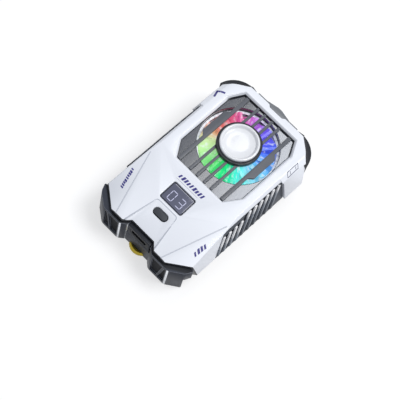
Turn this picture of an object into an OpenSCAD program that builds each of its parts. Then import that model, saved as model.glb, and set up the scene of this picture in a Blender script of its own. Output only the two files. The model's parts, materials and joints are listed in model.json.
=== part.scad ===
// Clip-on phone cooler: sprung front jaw, fixed rear hook, thermoelectric cold plate and lit fan.
// X is the width, Y the length from the front jaw to the back, Z points up from the cold face.

/* [Cover] */
// Width of the cover at its lower edge
body_w = 55; // [52:0.5:60]
// Width of the cover at the top edge of its flanks
flank_w = 47.9; // [46.4:0.1:48.6]
// Width of the flat crown
crown_w = 45.6; // [43:0.2:46]
// From the origin to the front edge of the cover
nose_len = 37.2; // [36.4:0.2:40]
// Depth of the cover behind the window
rear_border = 5.3; // [4.8:0.1:7]
// Height of the crown above the cold face
top_z = 14.5; // [14:0.1:17]
// Height of the cover at its front edge
nose_z = 10; // [9.6:0.1:11]
// Height of the cover at its back edge
back_z = 13; // [12:0.1:14]
// Height of the top edge of the flanks
rim_z = 13.2; // [12.4:0.1:13.6]
// Height of the lower edge of the cover
base_z = 1; // [0.8:0.1:1.4]
// Wall of the cover
wall = 1.6; // [1.2:0.1:1.8]
// Height of the underside of the nose
visor_z = 8.1; // [7.8:0.1:8.4]
// Width of the notch in the front edge
notch_w = 12.6; // [11:0.2:14]
// Depth of the notch in the front edge
notch_depth = 3; // [2.4:0.1:3.4]
// Run of the notch's slanted ends along the front edge
notch_flare = 3; // [2:0.2:4]
// How far the ends of the front edge lie in from the flanks
front_in = 11.5; // [10:0.1:13]
// Distance of the front corners' back ends in front of the origin
corner_y = 28.3; // [28:0.1:29.4]
// How far the rear shoulders stand out from the flanks
shoulder_out = 1.1; // [0.6:0.1:2]
// Length of the rear shoulders from the back edge
shoulder_l = 23; // [21:0.1:23.4]
// Run of the rear corners along the flanks
rear_cut = 11.2; // [10:0.1:12]
// How far the ends of the back edge lie in from the flanks
rear_in = 11.8; // [10:0.1:13]
// How far the knees of the rear corners lie in from the flanks
knee_in = 5.6; // [5:0.1:6.2]
// Run of the rear corners from the knees to the back edge
knee_run = 5.6; // [5:0.1:6.2]
// Distance of the creases' front ends from the middle
crease_front = 13.3; // [12:0.1:15]
// Distance of the creases' back ends from the middle
crease_back = 22.8; // [21:0.1:23.4]
// Distance of the creases' back ends in front of the origin
crease_y = 8.1; // [6:0.2:10]
// Height of the cover at its front corners
corner_z = 8.8; // [8.6:0.1:9.4]

/* [Window and fan] */
// Width of the octagonal window
window_w = 36.6; // [36:0.2:38]
// Length of the octagonal window
window_l = 43; // [42.4:0.2:44]
// Run of the window's front corners along the width
window_cut_x = 4.8; // [3:0.2:6]
// Run of the window's front corners along the length
window_cut_y = 7.3; // [5:0.2:8]
// Run of the window's back corners along the width
window_back_x = 3.6; // [3:0.2:5]
// Run of the window's back corners along the length
window_back_y = 6.8; // [5:0.2:8]
// Distance of the window's front edge in front of the origin
window_front = 1.7; // [1.2:0.1:2.4]
// Bevel round the window
window_bevel = 1; // [0.6:0.1:1.2]
// Distance of the fan's axis behind the middle of the window
fan_shift = 2.4; // [1.6:0.1:2.8]
// Least rim of the panel beside the fan opening
fan_border = 0.2; // [0.1:0.1:0.8]
// Thickness of the panel
panel_t = 0.9; // [0.7:0.1:1.1]
// How far the panel reaches under the cover
panel_lap = 0.5; // [0.4:0.1:0.7]
// Thickness of the light ring
light_ring_t = 0.5; // [0.4:0.1:0.6]
// Height of the dark wall under the opening's edge
shroud_h = 2; // [1.4:0.1:2.4]
// Width of the light ring that shows inside the opening
light_ring_show = 0.9; // [0.5:0.1:1.2]
// Gap between the blades and the light ring
blade_gap = 0.4; // [0.35:0.05:1]
// Thickness of a blade
blade_t = 0.7; // [0.5:0.1:0.9]
// Number of blades
blade_count = 13; // [9:1:15]
// Lean of the blades from upright
blade_lean = 54; // [45:1:56]
// Radius of the rotor's hub
hub_r = 8.2; // [7.8:0.1:8.4]
// Wall of the rotor's hub
hub_t = 1; // [0.8:0.1:1.2]
// Diameter of the fan shaft
shaft_d = 2; // [1.6:0.1:2.4]
// Outer radius of the raised hub ring
ring_r = 10; // [9.8:0.1:10.6]
// Wall of the raised hub ring
ring_t = 1.1; // [1:0.05:1.4]
// Height of the hub ring above the panel
ring_h = 2.5; // [2.3:0.1:3]
// Height of the cap's rim above the hub ring
cap_rise = 1.3; // [0.8:0.1:1.6]
// Depth of the dish in the cap
cap_dish = 0.9; // [0.5:0.1:1.1]
// Width of the cap's rim
cap_rim = 1.2; // [0.8:0.1:1.6]
// Height of the grille bars
bar_h = 1.2; // [0.9:0.1:1.5]
// Width of the inner grille bars
bar_w = 1.2; // [0.9:0.1:1.5]
// Distance of the innermost bars from the middle
bar_x1 = 2.15; // [1.8:0.05:2.6]
// Distance of the second bars from the middle
bar_x2 = 6.2; // [5.6:0.1:6.8]
// Distance of the winged bars from the middle
bar_x3 = 12.6; // [12:0.1:13]
// Width of the winged bars
wing_bar_w = 1.7; // [1.3:0.1:2]
// How far a wing stands out from its bar
wing_out = 1.9; // [1:0.1:2.4]
// Length of a wing
wing_l = 13; // [10:0.5:15]

/* [Display and key] */
// Width of the display glass
display_w = 12.7; // [11:0.1:14]
// Length of the display glass
display_l = 9.4; // [8:0.1:10]
// Distance of the display in front of the origin
display_y = 14.4; // [13.8:0.1:14.8]
// How far the display glass lies below the surface
display_sink = 0.4; // [0.2:0.1:0.6]
// Thickness of the display glass
glass_t = 1; // [0.8:0.1:1.2]
// Width of the key
key_w = 7; // [6.4:0.1:8]
// Length of the key
key_l = 3; // [2.6:0.1:3.6]
// Distance of the key in front of the origin
key_y = 24.2; // [23.9:0.1:24.8]
// How far the key stands above the surface
key_rise = 0.6; // [0.3:0.1:0.9]
// Travel of the key
key_travel = 0.5; // [0.3:0.05:0.5]
// Distance of the key facet's back edge in front of the origin
facet_y = 20.4; // [20:0.1:20.8]
// Width of the key facet at its back edge
facet_back_w = 11.4; // [10:0.2:13]
// Width of the key facet at the front edge of the cover
facet_front_w = 18; // [16:0.2:20]
// Extra slope of the key facet
facet_a = 3; // [2:0.5:5]

/* [Clamp] */
// Thickness of the phone that fits
phone_t = 8.1; // [7:0.1:10]
// Length of the rear hook
hook_l = 7.9; // [7:0.1:9]
// Distance of the front pad's face in front of the origin
grip_y = 33.6; // [33.4:0.1:33.8]
// Thickness of the rubber pads
grip_t = 0.8; // [0.6:0.1:1]
// Thickness of the lips under the phone
lip_t = 0.9; // [0.7:0.1:1.2]
// How far the lips reach past the pads
lip_reach = 1.8; // [1:0.1:2.5]
// Travel of the front jaw
jaw_travel = 16; // [12:0.5:16]
// Distance of the jaw's front faces in front of the origin
prong_y = 38.3; // [38:0.1:39.5]
// Distance of the centre face in front of the origin
face_y = 36; // [35.8:0.1:36.4]
// Distance of the front faces' inner edges from the middle
prong_in = 9.4; // [9:0.1:10]
// How far the outer edges of the front faces lie in from the flanks
prong_end = 8.6; // [8:0.1:9.6]
// How far the jaw's back ends lie in from the flanks
jaw_side = 0.8; // [0.7:0.1:1.6]
// How far the jaw's side knees lie in from the flanks
jaw_knee_in = 2.5; // [2.1:0.1:3.4]
// Distance of the jaw's side knees in front of the origin
jaw_knee_y = 33.9; // [33:0.1:34.2]
// Bevel of the jaw's upright edges
jaw_bevel = 0.6; // [0.3:0.1:0.8]
// Depth of the pockets in the jaw's faces
pocket_t = 0.8; // [0.5:0.1:1]
// Rib round the pockets
pocket_rib = 0.9; // [0.7:0.1:1.2]
// Width of the pull tab
tab_w = 8.8; // [7:0.2:10]
// How far the pull tab stands out
tab_out = 2.2; // [1.5:0.1:2.3]
// Thickness of the pull tab
tab_t = 2; // [1.4:0.1:2.6]
// Diameter of the guide rods
rod_d = 2; // [1.6:0.1:2.4]
// Height of the guide rods
rod_z = 4.5; // [4.4:0.1:4.6]
// Diameter of the spring wire
wire_d = 0.5; // [0.4:0.05:0.6]
// Mean radius of the springs
spring_r = 1.6; // [1.5:0.05:1.65]
// Turns of each spring
spring_turns = 10; // [6:1:11]

/* [Base and cooling] */
// Thickness of the bottom cover
floor_t = 1.6; // [1.4:0.1:1.8]
// Thickness of the thermal pad
pad_t = 0.6; // [0.4:0.1:0.8]
// How far the thermal pad stands below the bottom cover
pad_proud = 0.4; // [0.2:0.1:0.5]
// Width of the cold plate
plate_w = 34; // [30:0.5:34]
// Length of the cold plate
plate_l = 31; // [29:0.5:31.4]
// Distance of the cold plate's middle behind the origin
plate_y = 12; // [11.6:0.1:12.4]
// Lap of the cold plate on the bottom cover
plate_lap = 1.2; // [1:0.1:1.3]
// Thickness of the cold plate's flange
flange_t = 0.8; // [0.6:0.1:1]
// Side of the thermoelectric module
tec_side = 28; // [24:0.5:28.4]
// Thickness of each ceramic plate
ceramic_t = 0.7; // [0.6:0.05:0.8]
// Height of the pellets
pellet_h = 1.2; // [1:0.1:1.4]
// Pellets along each side
pellet_count = 6; // [4:1:7]
// Thickness of the heat sink's base
sink_t = 1.2; // [1:0.1:1.4]
// Thickness of a fin
fin_t = 0.6; // [0.5:0.1:0.8]
// Spacing of the fins
fin_pitch = 2; // [1.8:0.1:2.6]
// Distance of the vents' lower front ends in front of the origin
vent_front = 18; // [16:0.5:19]
// Run of the vents' slanted front ends
vent_slant = 6.8; // [5:0.2:7.6]
// How far the vents run in under the rear shoulders
vent_under = 0.8; // [0.4:0.1:1.2]
// How far the vents lie inside the flanks
vent_sink = 0.1; // [0.1:0.1:0.4]
// How far the louvres stand out from the vents
louvre_out = 0.5; // [0.3:0.1:0.8]
// Thickness of the vent plates
vent_t = 0.8; // [0.6:0.1:0.9]
// Spacing of the louvres
louvre_pitch = 3.6; // [3.2:0.1:4]
// Width of the slots between the louvres
louvre_slot = 1.6; // [1.4:0.1:1.8]

/* [Hidden] */
$fn = 48;
// Gap between bodies that move
gap = 0.3;
// Gap between fixed mouldings
fit = 0.15;
// Radial clearance of a running fit
run = 0.04;
// Overshoot of cutting tools
over = 1;
// Size of a cutting block
big = 200;

// Sizes tied to the flanks, the window and the back edge
front_w = body_w - 2 * front_in;
rear_w = body_w - 2 * rear_in;
knee_x = body_w / 2 - knee_in;
jaw_w = body_w - 2 * jaw_side;
jaw_knee_x = body_w / 2 - jaw_knee_in;
prong_out = body_w / 2 - prong_end;
window_end = window_l - window_front;
window_y = (window_end - window_front) / 2;
tail_len = window_end + rear_border;
crown_front = window_front + gap;
crown_back = window_end + 0.75 * window_bevel;
shoulder_y = tail_len - shoulder_l;
shoulder_end = tail_len - rear_cut;
knee_y = tail_len - knee_run;
fan_y = window_y + fan_shift;
fan_hole_r = min(window_w / 2, window_l / 2 - fan_shift) - fan_border;
light_in = fan_hole_r - light_ring_show;
light_out = fan_hole_r + panel_lap;
blade_r = light_in - blade_gap;
sink_front = window_front + 2 * gap;
sink_back = window_end + panel_lap;
vent_back = shoulder_y + vent_under;

flank_a = atan((body_w - flank_w) / 2 / (rim_z - base_z));
nose_a = atan((top_z - nose_z) / (nose_len - crown_front));
function flank_out(z) = body_w / 2 - (z - base_z) * tan(flank_a);
function flank_in(z) = flank_out(z) - wall / cos(flank_a);
function slope_z(y) = nose_z + (top_z - nose_z) * (y + nose_len) / (nose_len - crown_front);
function facet_z(y) = slope_z(-facet_y) + (y + facet_y) * tan(nose_a + facet_a);

// Points and outlines
function unit2(v) = v / norm(v);
function inward(a, b) = let (u = unit2(b - a)) [-u[1], u[0]];
function before(p, i) = p[(i + len(p) - 1) % len(p)];
function after(p, i) = p[(i + 1) % len(p)];
function inset(p, d) = [
    for (i = [0:len(p) - 1])
        let (m = inward(before(p, i), p[i]), n = inward(p[i], after(p, i)))
        p[i] + d * (m + n) / (1 + m * n)
];
function bevelled(p, d) = [
    for (i = [0:len(p) - 1])
        each [p[i] + d * unit2(before(p, i) - p[i]), p[i] + d * unit2(after(p, i) - p[i])]
];
function mirrored(half) = concat(half, [
    for (i = [len(half) - 1:-1:0]) [-half[i][0], half[i][1]]
]);
window_plan = mirrored([
    [window_w / 2 - window_cut_x, -window_l / 2],
    [window_w / 2, window_cut_y - window_l / 2],
    [window_w / 2, window_l / 2 - window_back_y],
    [window_w / 2 - window_back_x, window_l / 2]
]);

shoulder_w = body_w + 2 * shoulder_out;
rear_half = [[shoulder_w / 2, shoulder_end], [knee_x, knee_y], [rear_w / 2, tail_len]];
cover_plan = mirrored(concat([
    [notch_w / 2, notch_depth - nose_len],
    [notch_w / 2 + notch_flare, -nose_len],
    [front_w / 2, -nose_len],
    [body_w / 2, -corner_y],
    [shoulder_w / 2, shoulder_out - corner_y]
], rear_half));
shoulder_plan = mirrored(concat([[shoulder_w / 2, shoulder_y]], rear_half));

// Heights from the cold face up
floor_z = pad_proud;
floor_top = floor_z + floor_t;
plate_top = floor_top + flange_t;
tec_top = plate_top + 2 * ceramic_t + pellet_h;
sink_top = tec_top + sink_t;
cover_drop = wall / cos(nose_a);
panel_top = top_z - cover_drop - fit;
panel_z = panel_top - panel_t;
fin_top = panel_z - light_ring_t - fit;
board_t = 0.6;
led_h = 0.5;
rotor_z = sink_top + board_t + led_h + gap;
rotor_top = panel_z - gap;
ring_top = panel_top + ring_h;
ring_in = ring_r - ring_t;

// Clamp
front_wall_y = 29.8;
front_wall_t = 1.5;
jaw_back = front_wall_y + gap;
jaw_in = grip_y + grip_t;
jaw_bottom = -phone_t - lip_t;
jaw_top = visor_z - gap;
slot_x = notch_w / 2 + gap;
hook_in = tail_len - hook_l;
rear_grip_y = hook_in - grip_t;
echo(clamp_span = grip_y + rear_grip_y);
jaw_half = [
    [slot_x, -jaw_back],
    [slot_x, -face_y],
    [prong_in, -prong_y],
    [prong_out, -prong_y],
    [jaw_knee_x, -jaw_knee_y],
    [jaw_w / 2, -jaw_back]
];
jaw_plan = bevelled(jaw_half, jaw_bevel);
arm_in = 10;
arm_w = 7;
arm_t = 2;
arm_end = 8;
spring_out = spring_r + wire_d / 2;
rod_x = flank_in(rod_z + spring_out) - spring_out - gap;
bush_l = 4;
bush_t = 0.8;
bush_back = bush_l - front_wall_y;
clip_t = 1.2;
rod_end = -sink_front - over;
spring_end = rod_end - clip_t;

// Display, key and board, measured down from the sloped face
board_depth = 5.2;
board_w = 34;
pcb_t = 1;
board_front = 28;
board_back = 5;
flange_key = 0.7;
switch_h = 1.2;
switch_w = 3.4;
post_front = [7.4, -21.2];
post_rear = [flank_in(floor_top) - 1.9, tail_len - rear_cut - 5.4];
boss_r = 1.6;
screw_r = 0.7;
screw_head_r = 1.3;
screw_head_t = 0.8;

// Shared shapes
module both_sides() {
    children();
    mirror([1, 0, 0]) children();
}

module rounded_rect(w, l, r) {
    square([w - 2 * r, l], center = true);
    square([w, l - 2 * r], center = true);
    for (x = [-1, 1], y = [-1, 1])
        translate([x * (w / 2 - r), y * (l / 2 - r)]) circle(r);
}

module pill(w, l) {
    square([w - l, l], center = true);
    for (x = [-1, 1]) translate([x * (w - l) / 2, 0]) circle(l / 2);
}

module along_y(y0, y1) {
    translate([0, y1, 0]) rotate([90, 0, 0]) linear_extrude(y1 - y0) children();
}

module along_x(x0, x1) {
    translate([x0, 0, 0]) rotate([90, 0, 90]) linear_extrude(x1 - x0) children();
}

module up(z0, z1) {
    translate([0, 0, z0]) linear_extrude(z1 - z0) children();
}

module tube(r_out, r_in, z0, z1) {
    translate([0, 0, z0]) difference() {
        cylinder(r = r_out, h = z1 - z0);
        translate([0, 0, -over]) cylinder(r = r_in, h = z1 - z0 + 2 * over);
    }
}

// Children sit on the sloped face at y with their Z square to it
module on_slope(y) {
    translate([0, y, slope_z(y)]) rotate([nose_a, 0, 0]) children();
}

// Children sit on the key facet at y with their Z square to it
module on_facet(y) {
    translate([0, y, facet_z(y)]) rotate([nose_a + facet_a, 0, 0]) children();
}

// Children lie on the right flank: local Z climbs the flank and local X points outward
module on_flank() {
    translate([body_w / 2, 0, base_z]) rotate([0, -flank_a, 0]) children();
}

// Cover
module section(extra, d) {
    low = base_z - wall - over;
    polygon(inset(mirrored([
        [flank_out(low) + extra, low],
        [flank_w / 2 + extra, rim_z],
        [crown_w / 2, top_z]
    ]), d));
}

module profile(d) {
    polygon([
        [-nose_len - over, base_z - 2 * over],
        [tail_len + over, base_z - 2 * over],
        [tail_len + over, back_z - d],
        [tail_len, back_z - d],
        [crown_back, top_z - d],
        [-crown_front, top_z - d],
        [-nose_len, nose_z - d],
        [-nose_len - over, nose_z - d]
    ]);
}

module cover_block(plan, extra) {
    intersection() {
        up(base_z, top_z) polygon(plan);
        along_y(-big / 2, big / 2) section(extra, 0);
        along_x(-big / 2, big / 2) profile(0);
    }
}

module cover_cavity() {
    difference() {
        intersection() {
            union() {
                up(base_z - over, top_z) polygon(mirrored(concat([
                    [body_w / 2, front_wall_t - front_wall_y]
                ], [for (i = [0:2]) inset(shoulder_plan, wall)[i + 1]])));
                up(base_z - over, visor_z)
                    translate([-body_w / 2, -front_wall_y - over])
                    square([body_w, front_wall_t + 2 * over]);
            }
            along_y(-big / 2, big / 2) section(0, wall);
            along_x(-big / 2, big / 2) profile(cover_drop);
        }
        both_sides() crease_cut(wall);
    }
}

crease_a = [crease_front, -nose_len, nose_z];
crease_b = [crease_back, -crease_y, slope_z(-crease_y)];
crease_c = [flank_out(corner_z), -corner_y - notch_depth, corner_z];

module crease_cut(d) {
    normal = cross(crease_c - crease_a, crease_b - crease_a);
    n = normal / norm(normal);
    translate(crease_a - d * n) rotate([0, acos(n[2]), atan2(n[1], n[0])])
        translate([-big / 2, -big / 2, 0]) cube([big, big, top_z]);
}

module key_facet_cut() {
    run_y = nose_len - facet_y + over;
    on_facet(-facet_y) linear_extrude(top_z) polygon([
        [-facet_back_w / 2, 0],
        [-facet_front_w / 2, -run_y],
        [facet_front_w / 2, -run_y],
        [facet_back_w / 2, 0]
    ]);
}

module window_cut() {
    translate([0, window_y, 0]) {
        up(panel_z, top_z + over) polygon(window_plan);
        hull() {
            up(top_z - window_bevel, top_z - window_bevel + fit) polygon(window_plan);
            up(top_z, top_z + fit) polygon(inset(window_plan, -window_bevel));
        }
    }
}

// The vents' upper front corners sink with the facet above them
vent_rise = (rim_z - base_z) / cos(flank_a) - 2 * fit;
vent_drop = 0.65;
vent_ease = 2.8;
vent_round = 2;

module vent_outline(d) {
    polygon(inset([
        [-vent_front, -over],
        [vent_back, -over],
        for (a = [0:18:90])
            [vent_back + vent_round * (cos(a) - 1), vent_rise + vent_round * (sin(a) - 1)],
        [vent_slant + vent_ease - vent_front, vent_rise],
        [vent_slant - vent_front, vent_rise - vent_drop]
    ], d));
}

module rear_notch(d) {
    half = insert_w / 4 - d;
    translate([0, tail_len]) polygon(mirrored([
        [half - insert_depth, d - insert_depth],
        [half + over, over]
    ]));
}

insert_w = 19;
insert_depth = 1.2;
strip_w = rear_w - 8;
strip_out = 0.75;
insert_out = 2;
insert_low = 5;
insert_top = back_z - 0.5;

module top_shell() {
    color("white") difference() {
        union() {
            difference() {
                union() {
                    cover_block(cover_plan, 0);
                    cover_block(shoulder_plan, shoulder_out);
                }
                cover_cavity();
                both_sides() crease_cut(0);
                key_facet_cut();
                translate([-big / 2, -big - front_wall_y, visor_z - big]) cube([big, big, big]);
            }
            both_sides() {
                translate(post_front) cylinder_between(boss_r, floor_top, slope_z(post_front[1]) - over);
                translate(post_rear) cylinder_between(boss_r, floor_top, rim_z - over);
            }
        }
        window_cut();
        on_slope(-display_y) up(-big / 10, over) rounded_rect(display_w, display_l, over);
        on_facet(-key_y) up(-big / 10, over) pill(key_w + 2 * gap, key_l + 2 * gap);
        both_sides() {
            on_flank() along_x(-wall - 2 * over, 2 * over) vent_outline(0);
            translate(post_front) cylinder_between(screw_r, floor_top - over, floor_top + board_depth / 2);
            translate(post_rear) cylinder_between(screw_r, floor_top - over, floor_top + board_depth);
        }
        up(insert_low, top_z + over) rear_notch(0);
    }
}

module cylinder_between(r, z0, z1) {
    translate([0, 0, z0]) cylinder(r = r, h = z1 - z0);
}

// Window
module deck_panel() {
    color("dimgray") difference() {
        translate([0, window_y, 0]) up(panel_z, panel_top) polygon(inset(window_plan, -panel_lap));
        translate([0, fan_y, 0]) cylinder_between(fan_hole_r, panel_z - over, panel_top + over);
    }
}

module bar(x, w) {
    translate([x - w / 2, gap - window_front, panel_top])
        cube([w, window_l - 2 * gap, bar_h]);
}

module wing() {
    out = bar_x3 + wing_bar_w / 2;
    translate([0, fan_y, 0]) up(panel_top, panel_top + bar_h) polygon([
        [out - wing_bar_w / 2, -wing_l / 2 - wing_out],
        [out, -wing_l / 2 - wing_out],
        [out + wing_out, -wing_l / 2],
        [out + wing_out, wing_l / 2],
        [out, wing_l / 2 + wing_out],
        [out - wing_bar_w / 2, wing_l / 2 + wing_out]
    ]);
}

module fan_grille() {
    ledge_z = ring_top - cap_dish - over;
    color("darkslategray") difference() {
        union() {
            both_sides() {
                bar(bar_x1, bar_w);
                bar(bar_x2, bar_w);
                bar(bar_x3, wing_bar_w);
                wing();
            }
            translate([0, fan_y, 0]) cylinder_between(ring_r, panel_top, ring_top);
        }
        translate([0, fan_y, 0]) {
            cylinder_between(ring_in, ledge_z, ring_top + over);
            cylinder_between(ring_in - ring_t, panel_top - over, ledge_z + over);
        }
    }
}

module hub_cap() {
    seat_z = ring_top - cap_dish - over;
    rim_z1 = ring_top + cap_rise;
    cap_r = ring_in - fit / 2;
    color("whitesmoke") translate([0, fan_y, 0]) rotate_extrude() polygon([
        [0, seat_z],
        [cap_r, seat_z],
        [cap_r, rim_z1 - cap_rise / 2],
        [cap_r - cap_rise / 2, rim_z1],
        [cap_r - cap_rim, rim_z1],
        [cap_r - cap_rim - cap_dish, rim_z1 - cap_dish],
        [0, rim_z1 - cap_dish]
    ]);
}

module fan_shroud() {
    color("black") translate([0, fan_y, 0]) tube(light_out, fan_hole_r, panel_z - shroud_h, panel_z);
}

module light_ring() {
    ring_z = panel_z - shroud_h;
    color("white") translate([0, fan_y, 0]) tube(light_out, light_in, ring_z - light_ring_t, ring_z);
}

// Fan
stator_r = 5.7;
boss_out = 2.6;
magnet_t = 0.6;

module motor_base() {
    color("dimgray") translate([0, fan_y, 0]) difference() {
        union() {
            cylinder_between(hub_r, sink_top, sink_top + board_t);
            cylinder_between(boss_out, sink_top, rotor_top - hub_t - 2 * gap);
        }
        cylinder_between(shaft_d / 2 + bush_t, sink_top - over, rotor_top);
        motor_screw_places() cylinder_between(screw_r + fit / 2, sink_top - over, rotor_z);
    }
}

module motor_screw_places() {
    for (a = [0:120:240]) rotate(a) translate([hub_r - 2 * screw_head_r + gap, 0, 0]) children();
}

module bearing_sleeve() {
    color("goldenrod") translate([0, fan_y, 0])
        tube(shaft_d / 2 + bush_t, shaft_d / 2 + run, sink_top, rotor_top - hub_t - 2 * gap);
}

stator_z = rotor_z + gap;
stator_top = rotor_top - hub_t - gap - fit;
pole_count = 6;
pole_w = 1.3;
coil_t = 0.5;

module poles(w, r, z0, z1) {
    for (i = [0:pole_count - 1]) rotate(i * 360 / pole_count)
        translate([boss_out, -w / 2, z0]) cube([r - boss_out, w, z1 - z0]);
}

module stator_core() {
    z0 = stator_z + coil_t;
    z1 = stator_top - coil_t;
    color("silver") translate([0, fan_y, 0]) difference() {
        intersection() {
            union() {
                cylinder_between(boss_out + pole_w / 2, z0, z1);
                poles(pole_w, stator_r, z0, z1);
                difference() {
                    poles(2 * pole_w, stator_r, z0, z1);
                    cylinder_between(stator_r - pole_w / 2, z0 - over, z1 + over);
                }
            }
            cylinder_between(stator_r, z0, z1);
        }
        cylinder_between(boss_out, z0 - over, z1 + over);
    }
}

module stator_coils() {
    z0 = stator_z + coil_t;
    z1 = stator_top - coil_t;
    color("peru") translate([0, fan_y, 0]) difference() {
        poles(pole_w + 2 * coil_t, stator_r - pole_w, stator_z, stator_top);
        poles(pole_w, stator_r, z0, z1);
        cylinder_between(boss_out + pole_w, z0 - over, z1 + over);
    }
}

module fan_shaft() {
    color("lightgray") translate([0, fan_y, 0])
        cylinder_between(shaft_d / 2, sink_top + gap, rotor_top - hub_t);
}

module magnet_ring() {
    color("black") translate([0, fan_y, 0])
        tube(hub_r - hub_t, hub_r - hub_t - magnet_t, rotor_z, rotor_top - hub_t);
}

module blade() {
    mid = (rotor_z + rotor_top) / 2;
    rise = (rotor_top - rotor_z) / cos(blade_lean);
    translate([hub_r - hub_t / 2, 0, mid]) rotate([blade_lean, 0, 0])
        translate([0, -blade_t / 2, -rise]) cube([blade_r, blade_t, 2 * rise]);
}

module fan_rotor() {
    color("aquamarine", 0.8) translate([0, fan_y, 0]) {
        difference() {
            cylinder_between(hub_r, rotor_z, rotor_top);
            cylinder_between(hub_r - hub_t, rotor_z - over, rotor_top - hub_t);
        }
        difference() {
            intersection() {
                for (i = [0:blade_count - 1]) rotate(i * 360 / blade_count) blade();
                cylinder_between(blade_r, rotor_z, rotor_top);
            }
            cylinder_between(hub_r - hub_t / 2, rotor_z - over, rotor_top + over);
        }
    }
}

led_in = 12;
led_out = blade_r + gap;
led_count = 12;
led_side = 2;

module led_board() {
    color("darkgreen") translate([0, fan_y, 0]) tube(led_out, led_in, sink_top, sink_top + board_t);
}

module leds() {
    color("ivory") translate([0, fan_y, 0])
        for (i = [0:led_count - 1]) rotate(i * 360 / led_count)
            translate([(led_in + led_out - led_side) / 2, -led_side / 2, sink_top + board_t])
            cube([led_side, led_side, led_h]);
}

// Cooling stack
module thermal_pad() {
    color("lightsteelblue") translate([0, plate_y, 0])
        up(0, pad_t) rounded_rect(plate_w - over, plate_l - over, over);
}

module cold_plate() {
    color("lightgray") translate([0, plate_y, 0]) {
        up(pad_t, floor_top) rounded_rect(plate_w, plate_l, over);
        up(floor_top, plate_top) rounded_rect(plate_w + 2 * plate_lap, plate_l + 2 * plate_lap, over);
    }
}

module peltier_plates() {
    color("snow") translate([0, plate_y, 0]) for (z = [plate_top, tec_top - ceramic_t])
        up(z, z + ceramic_t) square(tec_side, center = true);
}

module peltier_pellets() {
    pitch = tec_side / pellet_count;
    color("gray") translate([0, plate_y, 0])
        for (i = [0:pellet_count - 1], j = [0:pellet_count - 1])
            translate([(i + 0.5) * pitch - tec_side / 2, (j + 0.5) * pitch - tec_side / 2, 0])
            up(plate_top + ceramic_t, tec_top - ceramic_t) square(pitch / 2, center = true);
}

sink_half = min(flank_in(fin_top) - 2 * gap, post_rear[0] - boss_r - gap);
sink_post_x = sink_half - boss_r;
sink_posts = [sink_front + gap, post_rear[1] - 3 * boss_r];

module sink_screw_places() {
    for (y = sink_posts) both_sides() translate([sink_post_x, y, 0]) children();
}

module sink_plan() {
    intersection() {
        translate([-sink_half, -sink_front]) square([2 * sink_half, sink_front + sink_back]);
        polygon(inset(cover_plan, wall + 2 * gap));
    }
}

module heat_sink() {
    fins = floor((sink_back + sink_front - fin_t) / fin_pitch);
    color("lightgray") difference() {
        union() {
            up(tec_top, sink_top) sink_plan();
            difference() {
                intersection() {
                    for (i = [0:fins])
                        translate([-sink_half, i * fin_pitch - sink_front, sink_top])
                        cube([2 * sink_half, fin_t, fin_top - sink_top]);
                    up(sink_top, fin_top) sink_plan();
                }
                translate([0, fan_y, 0]) cylinder_between(light_out + gap, sink_top, fin_top + over);
                sink_screw_places() translate([-screw_head_r - gap, -screw_head_r - gap, sink_top])
                    cube([big, 2 * (screw_head_r + gap), big]);
            }
        }
        sink_screw_places() cylinder_between(screw_r + fit / 2, tec_top - over, sink_top + over);
    }
}

// Bottom cover
module base_outline() {
    polygon(mirrored(concat([
        [flank_in(floor_top) - fit, -front_wall_y]
    ], [for (i = [0:2]) inset(shoulder_plan, wall + shoulder_out + fit)[i + 1]])));
}

module base_frame() {
    color("darkslategray") difference() {
        union() {
            intersection() {
                up(floor_z, floor_top) base_outline();
                along_y(-big / 2, big / 2) section(-fit, wall);
            }
            along_y(-front_wall_y, front_wall_t - front_wall_y) polygon(mirrored([
                [flank_in(floor_top) - fit, floor_top],
                [flank_in(visor_z) - fit, visor_z - fit]
            ]));
            intersection() {
                both_sides() translate([rod_x, 0, rod_z]) along_y(-front_wall_y, bush_back)
                    square(2 * (rod_d / 2 + bush_t + over), center = true);
                along_y(-big / 2, big / 2) section(-fit, wall);
                up(floor_top, visor_z - fit) square(big, center = true);
            }
            sink_screw_places() cylinder_between(boss_r, floor_top, tec_top);
        }
        translate([0, plate_y, 0]) up(floor_z - over, floor_top + over)
            rounded_rect(plate_w + 2 * fit, plate_l + 2 * fit, over + fit);
        both_sides() {
            translate([rod_x, 0, rod_z]) along_y(-front_wall_y - over, bush_back + over)
                circle(rod_d / 2 + bush_t);
            translate([arm_in - gap, -front_wall_y - over, floor_top])
                cube([arm_w + 2 * gap, front_wall_t + 2 * over, arm_t + 2 * gap]);
            for (p = [post_front, post_rear]) translate(p) {
                cylinder_between(screw_r + fit, floor_z - over, floor_top + over);
                cylinder_between(screw_head_r + fit, floor_z - over, floor_z + screw_head_t);
            }
            translate(hook_screw) cylinder_between(screw_r, floor_z - over, floor_top + over);
            crease_cut(wall + fit);
        }
        sink_screw_places() cylinder_between(screw_r, floor_top, tec_top + over);
        translate([-port_w / 2 - fit, -front_wall_y - over, port_z - port_h / 2 - fit])
            cube([port_w + 2 * fit, front_wall_t + 2 * over, port_h + 2 * fit]);
    }
}

hook_screw = [10, hook_in + 2.6];

// Power port
port_w = 9;
port_h = 3.2;
port_l = 7.4;
port_z = 4.6;
port_wall = 0.3;

module port_housing() {
    color("darkslategray") difference() {
        translate([-notch_w / 2, -face_y, gap])
            cube([notch_w, face_y - front_wall_y, jaw_top - gap]);
        translate([0, 0, port_z]) along_y(-face_y - over, over - front_wall_y)
            pill(port_w + fit, port_h + fit);
    }
}

module usb_socket() {
    color("silver") translate([0, 0, port_z]) difference() {
        along_y(-face_y, port_l - face_y) pill(port_w, port_h);
        along_y(-face_y - over, port_l - face_y - port_wall)
            pill(port_w - 2 * port_wall, port_h - 2 * port_wall);
    }
}

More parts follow.
